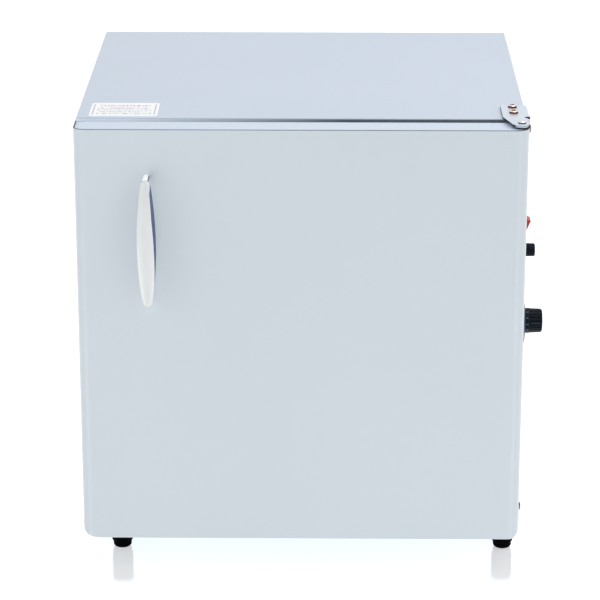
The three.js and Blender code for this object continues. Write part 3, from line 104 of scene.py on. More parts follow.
# One where the camera, a reflection or a view through glass sees the surroundings
def seen_share(tree):
    rays = add_node(tree, "ShaderNodeLightPath").outputs
    either = reckoned(tree, "MAXIMUM", rays["Is Camera Ray"], rays["Is Glossy Ray"])
    return reckoned(tree, "MAXIMUM", either, rays["Is Transmission Ray"])


world = bpy.data.worlds.new("white_room")
bpy.context.scene.world = world
world.use_nodes = True
room = world.node_tree
room_strength = add_node(room, "ShaderNodeMapRange", {
    "Value": seen_share(room), "To Min": ambient_strength})
backdrop = room.nodes["Background"]
backdrop.inputs["Color"].default_value = white
room.links.new(room_strength.outputs[0], backdrop.inputs["Strength"])

floor_mesh = bpy.data.meshes.new("studio_floor")
floor_mesh.from_pydata(
    [(x * floor_reach, y * floor_reach, 0.0) for x, y in ((-1, -1), (1, -1), (1, 1), (-1, 1))],
    [], [(0, 1, 2, 3)])
floor_finish = bpy.data.materials.new("pale_floor")
floor_finish.use_nodes = True
tree = floor_finish.node_tree
tree.nodes.clear()
matt = add_node(tree, "ShaderNodeBsdfDiffuse", {"Color": floor_grey})
gloss = add_node(tree, "ShaderNodeBsdfGlossy", {"Color": white, "Roughness": floor_roughness})
polished = add_node(tree, "ShaderNodeMixShader", {
    "Fac": floor_polish, 1: matt.outputs[0], 2: gloss.outputs[0]})
glow_level = add_node(tree, "ShaderNodeMapRange", {
    "Value": seen_share(tree), "To Min": floor_light, "To Max": floor_glow})
glow = add_node(tree, "ShaderNodeEmission", {"Color": white, "Strength": glow_level.outputs[0]})
lit = add_node(tree, "ShaderNodeAddShader", {0: polished.outputs[0], 1: glow.outputs[0]})
add_node(tree, "ShaderNodeOutputMaterial", {"Surface": lit.outputs[0]})
floor_mesh.materials.append(floor_finish)
linked("studio_floor", floor_mesh)

lamp_aim = Vector((0.0, 0.0, 0.25))
lamps = {
    "lamp_over": ((0.9, -0.1, 2.35), 1.8, 17.4),
    "lamp_left": ((-2.2, -2.1, 1.4), 1.6, 12.4),
    "lamp_right": ((1.9, -2.6, 1.3), 1.6, 9.0),
}
for lamp_name, (place, size, power) in lamps.items():
    lamp_data = bpy.data.lights.new(lamp_name, "AREA")
    lamp_data.size = size
    lamp_data.energy = power
    lamp = linked(lamp_name, lamp_data)
    lamp.location = place
    lamp.rotation_euler = (lamp_aim - Vector(place)).to_track_quat("-Z", "Y").to_euler()


# Feet
# Four black rubber feet, each moulded round a stud. The upper band is wider than the lower
# part, and the edge they stand on is round.
def tone(red, green, blue):
    shares = [value / 255 for value in (red, green, blue)]
    return tuple(s / 12.92 if s <= 0.04045 else ((s + 0.055) / 1.055) ** 2.4 for s in shares) + (1.0,)


# A finish with soft patches of two tones, a fine grain in its gloss and a shallow relief
def finish_of(name, dark, light, patch, grain, gloss, relief, stretch=(1, 1, 1), **constants):
    material = bpy.data.materials.new(name)
    material.use_nodes = True
    tree = material.node_tree
    shader = tree.nodes["Principled BSDF"]
    for socket, value in constants.items():
        shader.inputs[socket.replace("_", " ")].default_value = value
    place = add_node(tree, "ShaderNodeTexCoord").outputs["Object"]
    drawn = add_node(tree, "ShaderNodeMapping", {"Vector": place, "Scale": stretch}).outputs[0]
    patches = add_node(tree, "ShaderNodeTexNoise", {"Vector": drawn, "Scale": patch, "Detail": 3.0})
    colour = add_node(tree, "ShaderNodeMix", {
        "Factor": patches.outputs["Fac"], "A": tone(*dark), "B": tone(*light)}, data_type="RGBA")
    tree.links.new(colour.outputs["Result"], shader.inputs["Base Color"])
    grains = add_node(tree, "ShaderNodeTexNoise", {"Vector": drawn, "Scale": grain, "Detail": 2.0})
    roughness = add_node(tree, "ShaderNodeMapRange", {
        "Value": grains.outputs["Fac"], "From Min": 0.3, "From Max": 0.7,
        "To Min": gloss[0], "To Max": gloss[1]})
    tree.links.new(roughness.outputs[0], shader.inputs["Roughness"])
    bump = add_node(tree, "ShaderNodeBump", {
        "Strength": 1.0, "Distance": relief, "Height": grains.outputs["Fac"]})
    tree.links.new(bump.outputs[0], shader.inputs["Normal"])
    return material


# A mesh object whose doubles are merged and whose faces point outwards
def piece_of(name, points, faces, material):
    mesh = bpy.data.meshes.new(name)
    body = bmesh.new()
    corners = [body.verts.new(point) for point in points]
    for face in faces:
        body.faces.new([corners[i] for i in face])
    bmesh.ops.remove_doubles(body, verts=body.verts, dist=1e-6)
    bmesh.ops.recalc_face_normals(body, faces=body.faces)
    body.to_mesh(mesh)
    body.free()
    mesh.polygons.foreach_set("use_smooth", [True] * len(mesh.polygons))
    mesh.set_sharp_from_angle(angle=math.radians(35))
    mesh.materials.append(material)
    return linked(name, mesh)


# A body over rings of points, each joined to the next. A ring of one point is a tip, an end
# ring of more is closed flat, and a looped body runs back into its first ring.
def ringed(name, rings, material, looped=False):
    points, spans = [], []
    for ring in rings:
        spans.append(range(len(points), len(points) + len(ring)))
        points += ring
    pairs = list(zip(spans, spans[1:]))
    if looped:
        pairs.append((spans[-1], spans[0]))
    faces = []
    for low, high in pairs:
        for i in range(max(len(low), len(high))):
            quad = [low[i % len(low)], low[(i + 1) % len(low)],
                    high[(i + 1) % len(high)], high[i % len(high)]]
            faces.append(list(dict.fromkeys(quad)))
    if not looped:
        faces += [list(spans[0]), list(spans[-1])]
    return piece_of(name, points, [face for face in faces if len(face) > 2], material)


# Points along a round or oval arc, from one angle in degrees to another
def arc(centre, radii, start, end, steps):
    angles = [math.radians(start + (end - start) * step / steps) for step in range(steps + 1)]
    return [(centre[0] + radii[0] * math.cos(a), centre[1] + radii[1] * math.sin(a)) for a in angles]


# A profile of (radius, height) turned about an axis; a profile clear of the axis closes on itself
def turned(name, profile, centre, axis, material, sides=64, reverse=False):
    order = {"x": (2, 0, 1), "y": (0, 2, 1), "z": (0, 1, 2)}[axis]
    sign = -1 if reverse else 1
    on_axis = 1e-7
    rings = []
    for radius, height in profile:
        ring = []
        for i in range(1 if radius < on_axis else sides):
            angle = 2 * math.pi * i / sides
            local = (radius * math.cos(angle), radius * math.sin(angle), sign * height)
            ring.append(Vector(centre) + Vector([local[k] for k in order]))
        rings.append(ring)
    return ringed(name, rings, material, looped=len(rings[0]) > 1)


# The lowest and highest corners of a CAD node, and the point midway
def span_of(node_name):
    low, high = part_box(node_name)
    return low, high, (low + high) / 2


def fit(piece, body, slot, *replaced):
    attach(piece, body)
    if replaced:
        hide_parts(*replaced)


foot_rubber = finish_of(
    "foot_rubber", (2, 3, 6), (5, 6, 10), patch=120, grain=1800, gloss=(0.6, 0.8), relief=0.00003,
    Specular_IOR_Level=0.02)
foot_pad_radius = 0.0056
foot_low_radius = 0.0096
foot_high_radius = 0.0109
foot_round = 0.0036
foot_step = 0.0078
foot_slope = 0.0015
foot_edge = 0.0003
foot_edge_rise = 0.0002
foot_top_edge = 0.0004
stud_radius = 0.003
stud_height = 0.008
for foot_name in ("foot_front_left", "foot_front_right", "foot_back_left", "foot_back_right"):
    low, high, middle = span_of(foot_name)
    top = high.z - stud_height
    foot_profile = [(0, 0)] + arc(
        (foot_pad_radius, foot_round), (foot_low_radius - foot_pad_radius, foot_round), -90, 0, 6
    ) + [
        (foot_low_radius, foot_step - foot_slope), (foot_high_radius - foot_edge, foot_step - foot_edge),
        (foot_high_radius, foot_step + foot_edge_rise), (foot_high_radius, top - foot_top_edge),
        (foot_high_radius - foot_top_edge, top), (stud_radius, top), (stud_radius, high.z), (0, high.z),
    ]
    foot = turned(foot_name + "_rubber", foot_profile, (middle.x, middle.y, 0), "z", foot_rubber)
    fit(foot, "cabinet", "foot_rubber", foot_name)

# Case
# One wrap of thin painted sheet makes the top and both sides, folded at the two top edges, with
# narrow returns in front and behind. A tray closes it below and a screwed panel behind.
case_paint = finish_of(
    "case_paint", (202, 216, 232), (210, 222, 238), patch=5, grain=900, gloss=(0.34, 0.42),
    relief=0.000012, Metallic=0.15, Coat_Weight=0.15, Coat_Roughness=0.2)


# Breaks the edges of a piece by a small round
def broken(piece, width, segments=2, angle=40):
    edge = piece.modifiers.new("broken_edges", "BEVEL")
    edge.width = width
    edge.segments = segments
    edge.limit_method = "ANGLE"
    edge.angle_limit = math.radians(angle)
    return edge


def weighted(piece):
    flat = piece.modifiers.new("flat_faces", "WEIGHTED_NORMAL")
    flat.keep_sharp = True
    return piece


# A copy of a CAD node with its flat faces merged and its edges broken
def softened(node_name, name, edge, material):
    mesh = bpy.data.meshes.new(name)
    body = bmesh.new()
    source = nodes[node_name].data
    corners = [body.verts.new(v.co) for v in source.vertices]
    for polygon in source.polygons:
        body.faces.new([corners[i] for i in polygon.vertices])
    bmesh.ops.remove_doubles(body, verts=body.verts, dist=5e-6)
    bmesh.ops.dissolve_limit(body, angle_limit=math.radians(1), verts=body.verts, edges=body.edges)
    body.to_mesh(mesh)
    body.free()
    mesh.polygons.foreach_set("use_smooth", [True] * len(mesh.polygons))
    mesh.materials.append(material)
    piece = linked(name, mesh)
    round_edge = broken(piece, edge)
    round_edge.use_clamp_overlap = True
    round_edge.miter_outer = "MITER_ARC"
    return weighted(piece)


def dressed(node_name, name, body, slot, material, edge):
    fit(softened(node_name, name, edge, material), body, slot, node_name)


for node_name, edge in (("outer_case", 0.0003), ("base_panel", 0.0002), ("back_panel", 0.0003)):
    dressed(node_name, node_name + "_sheet", "cabinet", "case_steel", case_paint, edge)

# Edge tape
# A thin foam tape runs round the case's front face, a little inside its outer edge, and closes
# off the gap the door leaves. It is dark foam, and its colour also carries painted shade of the
# gap: darkest at the right, paler towards the left, with a weak painted glow.
gap_shade_foam = finish_of(
    "edge_foam_painted_gap_shade", (92, 102, 112), (104, 114, 124), patch=90, grain=1500, gloss=(0.7, 0.85),
    relief=0.00004, Specular_IOR_Level=0.2)
painted_light_foam_tone = tone(240, 248, 255)
painted_light_until, painted_shade_from = -0.19, 0.03
painted_glow_strength = 0.09
tape_inset = 0.0009
tape_width = 0.0062
tape_thickness = 0.0002
tape_lift = 0.00002


# A finish's tree, its shader and the socket that gives its colour
def coloured_by(finish):
    tree = finish.node_tree
    shader = tree.nodes["Principled BSDF"]
    return tree, shader, shader.inputs["Base Color"].links[0].from_socket


tree, shader, dark_foam = coloured_by(gap_shade_foam)
place = add_node(tree, "ShaderNodeSeparateXYZ", {
    "Vector": add_node(tree, "ShaderNodeTexCoord").outputs["Object"]})
# Painted gap shade: pale painted light at the left, dark at the right, along the case's width.
gap_shade_share = add_node(tree, "ShaderNodeMapRange", {
    "Value": place.outputs["X"], "From Min": painted_light_until, "From Max": painted_shade_from})
colour = add_node(tree, "ShaderNodeMix", {
    "Factor": gap_shade_share.outputs[0], "A": painted_light_foam_tone, "B": dark_foam}, data_type="RGBA")
tree.links.new(colour.outputs["Result"], shader.inputs["Base Color"])
# The colour also glows a little: painted light that lifts the shade in the gap.
tree.links.new(colour.outputs["Result"], shader.inputs["Emission Color"])
shader.inputs["Emission Strength"].default_value = painted_glow_strength
case_low, case_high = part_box("outer_case")
rings = []
for width, thickness in ((0, 0), (tape_width, 0), (tape_width, tape_thickness), (0, tape_thickness)):
    inset = tape_inset + width
    y = case_low.y - tape_lift - thickness
    x0, x1 = case_low.x + inset, case_high.x - inset
    z0, z1 = case_low.z + inset, case_high.z - inset
    rings.append([(x0, y, z0), (x1, y, z0), (x1, y, z1), (x0, y, z1)])
fit(ringed("case_edge_tape", rings, gap_shade_foam, looped=True), "cabinet", "seal_rubber")

# Insulation
# Slabs of mineral wool fill the walls and the door. They are cut back round the controls, the
# wiring and the lower hinge.
wool = finish_of(
    "mineral_wool", (196, 178, 120), (226, 212, 168), patch=60, grain=700, gloss=(0.9, 1.0),
    relief=0.0006)


# Gives its finish to a CAD node that shows as it is
def painted(node_name, material):
    slots = nodes[node_name].data.materials
    slots.clear()
    slots.append(material)


for side in ("left", "right", "top", "bottom", "back"):
    painted("insulation_" + side, wool)
painted("door_insulation", wool)

# Chamber
# A liner of plain steel sheet is set into the case behind a moulded collar that joins the two.
# A slotted tray lies over its floor, and pressed rails on its sides carry the shelves.
liner_steel = finish_of(
    "liner_steel", (176, 179, 182), (198, 200, 202), patch=18, grain=260, gloss=(0.26, 0.38),
    relief=0.00001, stretch=(1, 1, 14), Metallic=0.9)
collar_plastic = finish_of(
    "collar_plastic", (216, 220, 223), (224, 227, 229), patch=12, grain=1500, gloss=(0.45, 0.55),
    relief=0.00002)
dressed("inner_chamber", "chamber_liner", "cabinet", "liner_steel", liner_steel, edge=0.0003)
dressed("front_collar", "mouth_collar", "cabinet", "collar_plastic", collar_plastic, edge=0.0008)
dressed("heater_cover", "heater_tray", "cabinet", "liner_steel", liner_steel, edge=0.0002)
for rail in ("shelf_rail_left", "shelf_rail_right"):
    dressed(rail, rail + "_pressed", "cabinet", "liner_steel", liner_steel, edge=0.0003)

# Heater
# A bent sheathed element on a notched strip, under the slotted tray that the warm air rises
# through. Its two ends run back into the wall.
bright_steel = finish_of(
    "bright_steel", (206, 208, 210), (226, 227, 228), patch=40, grain=500, gloss=(0.16, 0.26),
    relief=0.000008, Metallic=1.0)
for node_name in ("heater_support", "bulb_clip"):
    painted(node_name, liner_steel)
element_radius = 0.00325
element_back = 0.0663
low, high, middle = span_of("heater_element")
element_left, element_right = low.x + element_radius, high.x - element_radius
element_pitch = (element_right - element_left) / 3
element_bend = element_pitch / 2
element_front = low.y + element_radius + element_bend
element_path = [(element_left, high.y)]
for run, centre_y in enumerate((element_front, element_back, element_front)):
    centre_x = element_left + (run + 0.5) * element_pitch
    reach = element_bend if centre_y == element_back else -element_bend
    element_path += arc((centre_x, centre_y), (-element_bend, reach), 0, 180, 18)
element_path.append((element_right, high.y))


# A round rod along a run of points
def rod(name, points, radius, material, sides=16):
    points = [Vector(point) for point in points]
    angles = [2 * math.pi * k / sides for k in range(sides)]
    rings = []
    side = None
    for i, point in enumerate(points):
        along = (points[min(i + 1, len(points) - 1)] - points[max(i - 1, 0)]).normalized()
        if side is None:
            side = along.orthogonal()
        side = (side - along * side.dot(along)).normalized()
        across = along.cross(side)
        rings.append([point + radius * (side * math.cos(a) + across * math.sin(a)) for a in angles])
    return ringed(name, rings, material)


element = rod("heater_tube", [(x, y, middle.z) for x, y in element_path], element_radius, bright_steel)
fit(element, "cabinet", "bright_steel", "heater_element")

# Shelves
# Two shelves of bright wire: a bent rod rim, two cross rods, and wires welded on from front to
# back. Each lies on its rails behind a small lip.
shelf_wire_radius = 0.0015
shelf_rim_radius = 0.0025
shelf_corner = 0.009
shelf_pitch = 0.016


# Gives a tree its named inputs and its output, and tells each input's identifier
def named_inputs(tree, sockets):
    made = {}
    tree.interface.new_socket("Geometry", in_out="INPUT", socket_type="NodeSocketGeometry")
    for name, kind in sockets.items():
        made[name] = tree.interface.new_socket(
            name, in_out="INPUT", socket_type="NodeSocket" + kind).identifier
    tree.interface.new_socket("Geometry", in_out="OUTPUT", socket_type="NodeSocketGeometry")
    return made


# Ends a tree: its copies are made real, smooth and given their finish
def end_tree(tree, geometry, finish):
    real = add_node(tree, "GeometryNodeRealizeInstances", {"Geometry": geometry})
    smooth = add_node(tree, "GeometryNodeSetShadeSmooth", {"Geometry": real.outputs[0]})
    coated = add_node(tree, "GeometryNodeSetMaterial", {
        "Geometry": smooth.outputs[0], "Material": finish})
    add_node(tree, "NodeGroupOutput", {0: coated.outputs[0]})


def shelf_tree():
    tree = bpy.data.node_groups.new("wire_shelf", "GeometryNodeTree")
    inputs = named_inputs(tree, {
        "Width": "Float", "Depth": "Float", "Corner": "Float", "Rim Radius": "Float",
        "Wire Radius": "Float", "Pitch": "Float", "Wires": "Int", "Place": "Vector",
        "Finish": "Material"})
    given = add_node(tree, "NodeGroupInput").outputs
    rim_path = add_node(tree, "GeometryNodeCurvePrimitiveQuadrilateral", {
        "Width": given["Width"], "Height": given["Depth"]})
    rim_bends = add_node(tree, "GeometryNodeFilletCurve", {
        "Curve": rim_path.outputs[0], "Count": 8, "Radius": given["Corner"]}, mode="POLY")
    rim_round = add_node(tree, "GeometryNodeCurvePrimitiveCircle", {
        "Radius": given["Rim Radius"], "Resolution": 14})
    rim = add_node(tree, "GeometryNodeCurveToMesh", {
        "Curve": rim_bends.outputs[0], "Profile Curve": rim_round.outputs[0]})
    wire_round = add_node(tree, "GeometryNodeCurvePrimitiveCircle", {
        "Radius": given["Wire Radius"], "Resolution": 10})

    def halved(socket, sign):
        return reckoned(tree, "MULTIPLY", socket, sign / 2)

    def vector(**shares):
        return add_node(tree, "ShaderNodeCombineXYZ", shares).outputs[0]

    def straight(axis, length):
        start, end = [vector(**{axis: halved(length, sign)}) for sign in (-1, 1)]
        line = add_node(tree, "GeometryNodeCurvePrimitiveLine", {"Start": start, "End": end})
        return add_node(tree, "GeometryNodeCurveToMesh", {
            "Curve": line.outputs[0], "Profile Curve": wire_round.outputs[0], "Fill Caps": True})

    def in_row(wire, count, start, offset):
        row = add_node(tree, "GeometryNodeMeshLine", {
            "Count": count, "Start Location": start, "Offset": offset})
        return add_node(tree, "GeometryNodeInstanceOnPoints", {
            "Points": row.outputs[0], "Instance": wire.outputs[0]})

    span = reckoned(tree, "MULTIPLY", reckoned(tree, "ADD", given["Wires"], -1.0), given["Pitch"])
    wires = in_row(
        straight("Y", given["Depth"]), given["Wires"],
        vector(X=halved(span, -1), Z=given["Wire Radius"]), vector(X=given["Pitch"]))
    third = reckoned(tree, "MULTIPLY", given["Depth"], 1 / 3)
    cross = in_row(straight("X", given["Width"]), 2, vector(Y=halved(third, -1)), vector(Y=third))
    joined = add_node(tree, "GeometryNodeJoinGeometry")
    for part in (rim, wires, cross):
        tree.links.new(part.outputs[0], joined.inputs[0])
    placed = add_node(tree, "GeometryNodeTransform", {
        "Geometry": joined.outputs[0], "Translation": given["Place"]})
    end_tree(tree, placed.outputs[0], given["Finish"])
    return tree, inputs


# The plain mesh that an object's modifiers give
def made_mesh(thing):
    bpy.context.view_layer.update()
    graph = bpy.context.evaluated_depsgraph_get()
    return bpy.data.meshes.new_from_object(thing.evaluated_get(graph))


# Runs a node tree on a carrier mesh and keeps the result as a plain mesh object
def grown(name, carrier, tree, inputs, values):
    maker = linked(name + "_maker", carrier)
    modifier = maker.modifiers.new("maker", "NODES")
    modifier.node_group = tree
    for key, value in values.items():
        modifier[inputs[key]] = value
    result = made_mesh(maker)
    bpy.data.objects.remove(maker)
    result.name = name
    return linked(name, result)


wire_tree, wire_inputs = shelf_tree()
for shelf in ("shelf_lower", "shelf_upper"):
    low, high, middle = span_of(shelf)
    width = high.x - low.x - 2 * shelf_rim_radius
    depth = high.y - low.y - 2 * shelf_rim_radius
    piece = grown(shelf + "_wires", bpy.data.meshes.new("carrier"), wire_tree, wire_inputs, {
        "Width": width, "Depth": depth, "Corner": shelf_corner, "Rim Radius": shelf_rim_radius,
        "Wire Radius": shelf_wire_radius, "Pitch": shelf_pitch,
        "Wires": int((width - shelf_pitch) / shelf_pitch) + 1,
        "Place": (middle.x, middle.y, low.z + shelf_rim_radius), "Finish": bright_steel})
    fit(piece, shelf, "bright_steel", shelf)

# Sensor and wiring inside the walls
# The thermostat's copper tube and bulb, the overheat cut-out, and the terminal block where the
# supply ends.
copper = finish_of(
    "copper_tube", (168, 106, 74), (196, 134, 98), patch=90, grain=900, gloss=(0.25, 0.4),
    relief=0.00001, Metallic=1.0)
black_plastic = finish_of(
    "black_plastic", (19, 22, 27), (27, 30, 36), patch=60, grain=2200, gloss=(0.38, 0.5),
    relief=0.00002)
ivory_plastic = finish_of(
    "ivory_plastic", (226, 220, 204), (236, 231, 217), patch=60, grain=1200, gloss=(0.4, 0.5),
    relief=0.00001)
glass = finish_of(
    "fuse_glass", (225, 232, 232), (235, 241, 241), patch=60, grain=400, gloss=(0.02, 0.05),
    relief=0.000001, Transmission_Weight=1.0)
for node_name, material in {
    "thermostat_capillary": copper, "overheat_cutout": black_plastic, "thermostat_body": black_plastic,
    "fuse_nut": black_plastic, "terminal_block": ivory_plastic, "fuse_cartridge": glass,
    "thermostat_shaft": bright_steel,
}.items():
    painted(node_name, material)

# Dial
# A pressed disc of bright metal stands off the case's right side. The black knob turns over
# it: a plain band with numbers next to the disc, then a ribbed grip with an index line.
dial_metal = finish_of(
    "dial_metal", (64, 82, 104), (88, 106, 128), patch=60, grain=500, gloss=(0.3, 0.4),
    relief=0.000008, Metallic=0.5)
dial_sheet = 0.001
dial_round = 0.0016
dial_bore = 0.0053
low, high, middle = span_of("dial_plate")
control_y = middle.y
dial_radius = (high.z - low.z) / 2
dial = turned("dial_disc", [
    (dial_bore, high.x - dial_sheet), (dial_bore, high.x),
    *arc((dial_radius - dial_round, high.x - dial_round), (dial_round, dial_round), 90, 0, 6),
    (dial_radius, low.x), (dial_radius - dial_sheet, low.x),
    (dial_radius - dial_sheet, high.x - dial_round),
    (dial_radius - dial_round, high.x - dial_sheet),
], (0, control_y, middle.z), "x", dial_metal, sides=96)
fit(dial, "cabinet", "bright_steel", "dial_plate")

knob_plastic = finish_of(
    "knob_plastic", (6, 15, 24), (13, 24, 35), patch=90, grain=1600, gloss=(0.28, 0.36),
    relief=0.00001, Specular_IOR_Level=0.09)
print_grey = finish_of(
    "print_grey", (112, 128, 144), (150, 166, 182), patch=300, grain=3000, gloss=(0.5, 0.6),
    relief=0.000005)
index_grey = finish_of(
    "index_grey", (56, 70, 84), (74, 90, 106), patch=300, grain=3000, gloss=(0.5, 0.6),
    relief=0.000005)
low, high, middle = span_of("thermostat_knob")
knob_base = low.x
knob_length = high.x - low.x
knob_radius = (high.z - low.z) / 2
knob_tip = 0.0121
knob_band = 0.005
knob_ribs = 22
knob_centre = Vector((knob_base, control_y, middle.z))
rib_points = 8
rib_sharpness = 0.6
tenth = 0.0001


# Rings of a turned profile near one place, from steps in tenths of a millimetre: how far along,
# how far in from the radius, and how deep the ribs are
def stepped(place, way, radius, steps):
    return [(place + way * tenth * along, radius - tenth * inward, tenth * depth)
            for along, inward, depth in steps]


# A grip about the x axis whose rings are given as x, radius and the depth of its ribs
def ribbed(name, profile, ribs, centre, material):
    count = ribs * rib_points
    rings = []
    for x, radius, depth in profile:
        ring = []
        for i in range(count):
            phase = (i % rib_points) / rib_points
            dip = max(0.0, math.cos(2 * math.pi * phase)) ** rib_sharpness
            angle = 2 * math.pi * i / count
            reach = radius - depth * dip
            ring.append(centre + Vector((x, reach * math.cos(angle), reach * math.sin(angle))))
        rings.append(ring)
    tips = [[centre + Vector((x, 0, 0))] for x in (profile[0][0], profile[-1][0])]
    return ringed(name, [tips[0], *rings, tips[1]], material)


knob = ribbed("dial_knob", [
    *stepped(0, 1, knob_radius, ((0, 4, 0), (3, 0, 0))),
    *stepped(knob_band, 1, knob_radius, ((-3, 0, 0), (0, 2, 1), (7, 4, 9))),
    *stepped(knob_length, -1, knob_tip, (
        (25, -2, 9), (16, 0, 9), (7, 5, 6), (2, 14, 2), (1, 24, 0), (0, 60, 0))),
], knob_ribs, knob_centre, knob_plastic)
fit(knob, "knob", "knob_plastic", "thermostat_knob")

figure_height = 0.0036
figure_turn = 30
print_lift = 0.00004


# The flat mesh of one figure
def figure_mesh(text, height):
    curve = bpy.data.curves.new("figure", "FONT")
    curve.body = text
    curve.size = height
    curve.align_x = "CENTER"
    curve.align_y = "CENTER"
    curve.resolution_u = 4
    holder = linked("figure", curve)
    mesh = made_mesh(holder)
    bpy.data.objects.remove(holder)
    return mesh


# Thin raised figures, each with its place, laid on a surface by a rule for their points
def printed(name, figures, height, laid, material):
    points, faces = [], []
    for text, place in figures:
        mesh = figure_mesh(text, height)
        start = len(points)
        faces += [[start + i for i in polygon.vertices] for polygon in mesh.polygons]
        points += [laid(place, vertex.co) for vertex in mesh.vertices]
    piece = piece_of(name, points, faces, material)
    ink = piece.modifiers.new("ink", "SOLIDIFY")
    ink.thickness = print_lift
    return piece


# Round the knob's band, read from outside with the figures' feet away from the case
def on_band(turn, flat):
    around = turn + flat.x / knob_radius
    reach = knob_radius + print_lift
    return knob_centre + Vector((
        knob_band / 2 - flat.y, -reach * math.cos(around), -reach * math.sin(around)))


numbers = [(str(number), math.radians(figure_turn * (number - 5))) for number in range(1, 10)]
fit(printed("knob_figures", numbers, figure_height, on_band, print_grey), "knob", "knob_plastic")

index_angle = math.radians(4)
index_half = 0.00018
index_start = 0.0012
index_end = 0.002
index_root = 0.0004
index_lift = 0.00005
rings = []
for x, radius in ((knob_band + index_start, knob_radius - 2 * tenth),
                  (knob_length - index_end, knob_tip + 3 * tenth)):
    ring = []
    for lift, side in ((-index_root, -1), (-index_root, 1), (index_lift, 1), (index_lift, -1)):
        spread = index_angle + side * index_half / radius
        reach = radius + lift
        ring.append(knob_centre + Vector((x, -reach * math.cos(spread), reach * math.sin(spread))))
    rings.append(ring)
fit(ringed("knob_index", rings, index_grey), "knob", "knob_plastic")

# Fuse holder
# A black panel holder with a ribbed bayonet cap stands under the switch. A nut holds it from
# inside the wall.
low, high, middle = span_of("fuse_holder")
fuse_z = middle.z
fuse_flange = 0.0024
fuse_bore = 0.0046
fuse_barrel = 0.006
fuse_flange_radius = (high.z - low.z) / 2
fuse_edge = 0.0005


# A closed outline with each corner rounded by a small curve
def eased(outline, radius, steps=3):
    outline = [Vector(point) for point in outline]
    made = []
    for i, corner in enumerate(outline):
        before = outline[i - 1] - corner
        after = outline[(i + 1) % len(outline)] - corner
        cut = min(radius, before.length * 0.45, after.length * 0.45)
        start = corner + before.normalized() * cut
        end = corner + after.normalized() * cut
        for step in range(steps + 1):
            t = step / steps
            made.append(start * (1 - t) ** 2 + corner * 2 * t * (1 - t) + end * t ** 2)
    return made


flange_profile = eased([
    (fuse_bore, low.x), (fuse_barrel, low.x), (fuse_barrel, high.x - fuse_flange),
    (fuse_flange_radius, high.x - fuse_flange), (fuse_flange_radius, high.x), (fuse_bore, high.x),
], fuse_edge)
holder = turned("fuse_panel_holder", flange_profile, (0, control_y, fuse_z), "x", black_plastic)
fit(holder, "cabinet", "black_plastic", "fuse_holder")
low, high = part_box("fuse_cap")
cap_swell = 0.0004
cap_radius = (high.z - low.z) / 2 + cap_swell
cap_length = 0.0118
cap_tip = 0.0066
cap_ribs = 20
fuse_cap = ribbed("fuse_screw_cap", [
    *stepped(0, 1, cap_radius, ((0, 3, 0), (3, 0, 0), (12, 0, 0), (16, 1, 5))),
    *stepped(cap_length, -1, cap_tip, ((12, -1, 5), (5, 2, 3), (1, 8, 1), (0, 14, 0), (3, 22, 0))),
], cap_ribs, Vector((high.x - cap_length, control_y, fuse_z)), knob_plastic)
fit(fuse_cap, "fuse_cap", "knob_plastic", "fuse_cap")

# Switch
# A red rocker in a black snap-in frame, pressed in at its lower end. Its face carries the on
# and off signs.
red_plastic = finish_of(
    "red_plastic", (176, 30, 30), (196, 40, 38), patch=70, grain=1200, gloss=(0.28, 0.38),
    relief=0.000006, Specular_IOR_Level=0.35)
dressed("switch_housing", "switch_frame", "cabinet", "black_plastic", black_plastic, edge=0.0005)
rocker_pivot = Vector((0.2146, control_y, 0.343))
rocker_radius = 0.0119
rocker_half_width = 0.0085
rocker_flank = 30
rocker_tilt = math.radians(12)
rocker_hub = 0.003
rocker_dip = 0.0017
rocker_inset = 0.0008
rocker_end = rocker_radius * math.cos(math.radians(rocker_flank))
rocker_crest = rocker_radius * math.sin(math.radians(rocker_flank))
ridge_share = 0.1
face_shares = (-0.95, -0.9, -0.6, -0.3, -0.06, 0.0, 0.06, 0.3, 0.6, 0.9, 0.95)


# How far the face stands out: two planes that meet in the middle, between small end ridges
def rocker_face_at(share):
    ridge = min(1.0, (1 - abs(share)) / ridge_share)
    return rocker_crest - ridge * (rocker_inset + rocker_dip * (1 - abs(share)))


def tilted(x, y, z):
    return rocker_pivot + Vector((
        x * math.cos(rocker_tilt) + z * math.sin(rocker_tilt), y,
        -x * math.sin(rocker_tilt) + z * math.cos(rocker_tilt)))


outline = arc((0, 0), (rocker_radius, rocker_radius), 60, 120, 8)
outline += [(-rocker_hub, rocker_end / 3), (-rocker_hub, -rocker_end / 3)]
outline += arc((0, 0), (rocker_radius, rocker_radius), 240, 300, 8)
outline += [(rocker_face_at(share), rocker_end * share) for share in face_shares]
rocker = ringed("rocker_button", [
    [tilted(x, side * rocker_half_width, z) for x, z in outline] for side in (-1, 1)], red_plastic)
broken(rocker, 0.0007, segments=3, angle=50)
fit(rocker, "rocker", "red_plastic", "switch_rocker")

mark_white = finish_of(
    "mark_white", (232, 232, 230), (244, 244, 242), patch=300, grain=3000, gloss=(0.4, 0.5),
    relief=0.000005)
mark_height = 0.0052


def on_rocker(along, flat):
    z = along + flat.y
    return tilted(rocker_face_at(z / rocker_end) + print_lift, flat.x, z)


marks = printed("rocker_marks", (("I", 0.006), ("O", -0.0062)), mark_height, on_rocker, mark_white)
fit(marks, "rocker", "red_plastic")

# Cord gland
# A rubber bush pressed into the back panel where the supply cord goes in. Its flange lies on
# the outside and slopes off to the bore.
low, high, middle = span_of("cord_gland")
gland_bore = 0.004
gland_neck = 0.0065
gland_flange = 0.003
gland_edge = 0.0006
gland_radius = (high.x - low.x) / 2
gland_profile = eased([
    (gland_bore, low.y), (gland_neck, low.y), (gland_neck, high.y - gland_flange),
    (gland_radius, high.y - gland_flange), (gland_radius, high.y - gland_flange / 2),
    (gland_neck, high.y), (gland_bore, high.y),
], gland_edge)
gland = turned("supply_gland", gland_profile, (middle.x, 0, middle.z), "y", foot_rubber)
fit(gland, "cabinet", "foot_rubber", "cord_gland")

